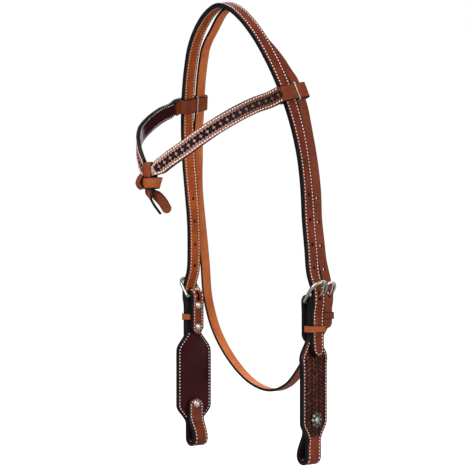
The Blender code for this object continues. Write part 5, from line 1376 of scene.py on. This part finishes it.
class HEADSTALL_OT_screws(bpy.types.Operator):
    """Make the Chicago screws of the chapes, with domed heads that show inside"""
    bl_idname = "headstall.screws"
    bl_label = "Screws"

    def execute(self, context):
        for name, side in SIDES.items():
            out = np.array([side, 0, 0.0])
            for place, drop in zip(("upper", "lower"), SCREW_DROPS):
                centre = side_point(side, CHEEK_BAR, 0, 0, -drop)
                inside = neck_shift(drop - SCREW_HEAD_RADIUS, FOLD_MIDDLE, -CHAPE_MIDDLE) + STRAP_HALF
                face, under = NECK_FACE + 0.05 * MM, NECK_FACE - 0.8 * MM
                post = [(face, AXIS), (face, SCREW_HEAD_RADIUS - 0.3 * MM), (NECK_FACE - 0.2 * MM, SCREW_HEAD_RADIUS),
                        (under, SCREW_HEAD_RADIUS), (under, POST_RADIUS), (-inside + SEAT, POST_RADIUS),
                        (-inside + SEAT, AXIS)]
                screw = [(inside - 1.2 * MM, AXIS), (inside - 1.2 * MM, MM), (inside - AXIS, MM)] + dome_rows(inside)
                for part, rows, axis in (("post", post, out), ("screw", screw, -out)):
                    node = f"{name}_{place}_chape_{part}"
                    make_piece(context, f"{node}_metal", turned_mesh(rows, centre, axis), "nickel", "straps",
                               "bright_nickel", node)
        return {"FINISHED"}


class HEADSTALL_OT_conchos(bpy.types.Operator):
    """Make the scalloped conchos with petals and a domed middle, and the posts behind them"""
    bl_idname = "headstall.conchos"
    bl_label = "Conchos"

    def execute(self, context):
        base, radius, lip = NECK_FACE + SEAT, CONCHO_RADIUS, 0.5 * MM

        def wave(reach, angle, height):
            share = reach / radius
            petal = np.abs(np.cos(4 * angle)) ** 0.6
            lift = 0.55 * MM * np.exp(-((share - 0.68) / 0.17) ** 2) * (petal - 0.45)
            rope = np.exp(-((share - 0.93) / 0.035) ** 2) * 0.16 * MM * np.cos(24 * angle)
            dome = np.exp(-((share - 0.30) / 0.11) ** 2) * 0.12 * MM * np.cos(7 * angle)
            return np.where(height > base + lip, lift + rope + dome, 0)

        rows = [(base, AXIS), (base, radius * 0.98, 1), (base + lip, radius, 1)]
        rows += [(base + lip + (CONCHO_RISE - lip) * h, radius * r, lobe) for r, h, lobe in CONCHO_SHAPE]
        inside = -(TAB_MIDDLE - STRAP_HALF - SEAT)
        post_end = -NECK_FACE + 0.4 * MM
        post = [(post_end, AXIS), (post_end, POST_RADIUS), (inside - AXIS, POST_RADIUS)] + dome_rows(inside)
        for name, side in SIDES.items():
            places = np.array([side_point(side, CHEEK_BAR, x, 0, -CONCHO_DROP) for x in (0, FOLD_OUTSIDE)])
            centre, beyond = cheek_settle(side)(places)
            out = unit(beyond - centre)
            points, faces = turned_mesh(rows, centre, out, 144, 8, radius / 8, wave)
            flat = points - centre - ((points - centre) @ out)[:, None] * out
            reach = np.linalg.norm(flat, axis=1) / radius
            angle = np.arctan2(flat @ np.cross(out, (0, 0, 1)), flat[:, 2])
            petals = (1 - np.abs(np.cos(4 * angle)) ** 1.5) * plateau(reach, 0.50, 0.58, 0.76, 0.84) * 0.9
            rings = np.exp(-((reach - 0.52) / 0.05) ** 2) + 0.5 * np.exp(-((reach - 0.86) / 0.03) ** 2)
            depth = np.clip(0.30 * ease(reach, 0.40, 0.52) + petals + rings, 0, 1)
            maps = {"place": np.zeros((len(points), 2)), "wear": np.stack([0 * depth, depth], -1)}
            make_piece(context, f"{name}_concho_metal", (points, faces, maps), "antique", "straps", "antique_nickel",
                       f"{name}_concho", math.radians(60))
            make_piece(context, f"{name}_concho_post_metal", turned_mesh(post, centre, -out), "nickel", "straps",
                       "bright_nickel", f"{name}_concho_post")
        return {"FINISHED"}


class HEADSTALL_OT_stage(bpy.types.Operator):
    """Make the pale floor, the soft studio lights, the white surround and the camera"""
    bl_idname = "headstall.stage"
    bl_label = "Stage"

    def execute(self, context):
        stage, scene = settings_of(context).stage, context.scene
        self.make_floor(stage)
        self.make_world(scene, stage)
        right = np.array([math.cos(VIEW_AZIMUTH), math.sin(VIEW_AZIMUTH), 0])
        ahead = np.array([-math.sin(VIEW_AZIMUTH), math.cos(VIEW_AZIMUTH), 0])
        middle = np.array([0, 0, VIEW_HEIGHT])
        for name, (forward, sideways, up), power, size in (
                ("key_light", (-0.9, -0.9, 1.0), stage.key, 1.2), ("fill_light", (-0.9, 1.2, 0.2), stage.fill, 1.0),
                ("back_light", (1.2, 0.3, 0.9), stage.fill, 1.0)):
            lamp = bpy.data.lights.new(name, "AREA")
            lamp.energy, lamp.size = power, size
            place = middle + ahead * forward + right * sideways + np.array([0, 0, up])
            self.link(scene, name, lamp, place, Vector(middle - place).to_track_quat("-Z", "Y").to_euler())
        camera = bpy.data.cameras.new("photo_camera")
        camera.sensor_width, camera.lens = SENSOR, FOCAL_PIXELS / IMAGE_SIDE * SENSOR
        camera.clip_start, camera.clip_end = 0.05, 50
        pitch = math.atan(HORIZON_BELOW_MIDDLE / FOCAL_PIXELS)
        scene.camera = self.link(scene, "photo_camera", camera, right * VIEW_SHIFT - ahead * VIEW_DISTANCE + middle,
                                 (math.pi / 2 + pitch, 0, VIEW_AZIMUTH))
        scene.view_settings.view_transform = "Standard"
        return {"FINISHED"}

    def link(self, scene, name, data, place, turn):
        made = bpy.data.objects.new(name, data)
        made.location, made.rotation_euler = Vector(place), turn
        scene.collection.objects.link(made)
        return made

    def make_floor(self, stage):
        """White where the camera sees it, with the object's shadow, and a plain pale grey to everything else."""
        finish = Finish("stage_floor")
        tree = finish.tree
        tree.nodes.remove(finish.principled)
        diffuse = finish.node("ShaderNodeBsdfDiffuse", {}, {"Color": (FLOOR_SEEN,) * 3})
        glow = finish.node("ShaderNodeEmission", {}, {"Color": (1.0, 1.0, 1.0), "Strength": FLOOR_GLOW})
        plain = finish.node("ShaderNodeBsdfDiffuse", {}, {"Color": (FLOOR_PLAIN,) * 3})
        seen = finish.node("ShaderNodeAddShader", {}, {0: diffuse, 1: glow})
        ray = finish.node("ShaderNodeLightPath", output="Is Camera Ray")
        shown = finish.node("ShaderNodeMixShader", {}, {0: ray, 1: plain, 2: seen})
        tree.links.new(shown.socket, tree.nodes["Material Output"].inputs["Surface"])
        low = CAD_BOX[0][2] - stage.floor_gap
        points = np.array([(x * FLOOR_REACH, y * FLOOR_REACH, low) for x, y in ((-1, -1), (1, -1), (1, 1), (-1, 1))])
        add_mesh("studio_floor", points, [[0, 1, 2, 3]], [finish.material])

    def make_world(self, scene, stage):
        """White to the camera and through glass, and a dim white light from all round to everything else."""
        world = bpy.data.worlds.new("studio")
        scene.world = world
        nodes = Nodes(world)
        seen = nodes.node("ShaderNodeLightPath", output="Is Camera Ray")
        through = Value(nodes, seen.socket.node.outputs["Is Transmission Ray"])
        background = nodes.tree.nodes["Background"]
        shown = seen.math("MAXIMUM", seen, through)
        nodes.feed(background.inputs["Strength"], stage.ambient + shown * (1.0 - stage.ambient))
        nodes.feed(background.inputs["Color"], (1.0, 1.0, 1.0))


OPERATORS = (HEADSTALL_OT_crown, HEADSTALL_OT_throatlatch, HEADSTALL_OT_browband, HEADSTALL_OT_knot,
             HEADSTALL_OT_cheekpieces, HEADSTALL_OT_keepers, HEADSTALL_OT_buckles, HEADSTALL_OT_screws,
             HEADSTALL_OT_conchos, HEADSTALL_OT_stage)


class HEADSTALL_PT_panel(bpy.types.Panel):
    """Lists the pieces and their settings"""
    bl_idname = "HEADSTALL_PT_panel"
    bl_label = "Headstall"
    bl_space_type = "VIEW_3D"
    bl_region_type = "UI"
    bl_category = "Headstall"

    def draw(self, context):
        for operator in OPERATORS:
            self.layout.operator(operator.bl_idname)
        settings = settings_of(context)
        for group in (settings.work, settings.leather, settings.metal, settings.stage):
            box = self.layout.box()
            for name in group.__annotations__:
                box.prop(group, name)


CLASSES = (StitchSettings, LeatherColours, MetalColours, StageSettings, HeadstallSettings, *OPERATORS,
           HEADSTALL_PT_panel)


def register():
    for group in CLASSES:
        bpy.utils.register_class(group)
    bpy.types.Scene.headstall = PointerProperty(type=HeadstallSettings)


def unregister():
    del bpy.types.Scene.headstall
    for group in reversed(CLASSES):
        bpy.utils.unregister_class(group)


def main():
    register()
    for operator in OPERATORS:
        group, name = operator.bl_idname.split(".")
        getattr(getattr(bpy.ops, group), name)()


if __name__ == "__main__":
    main()
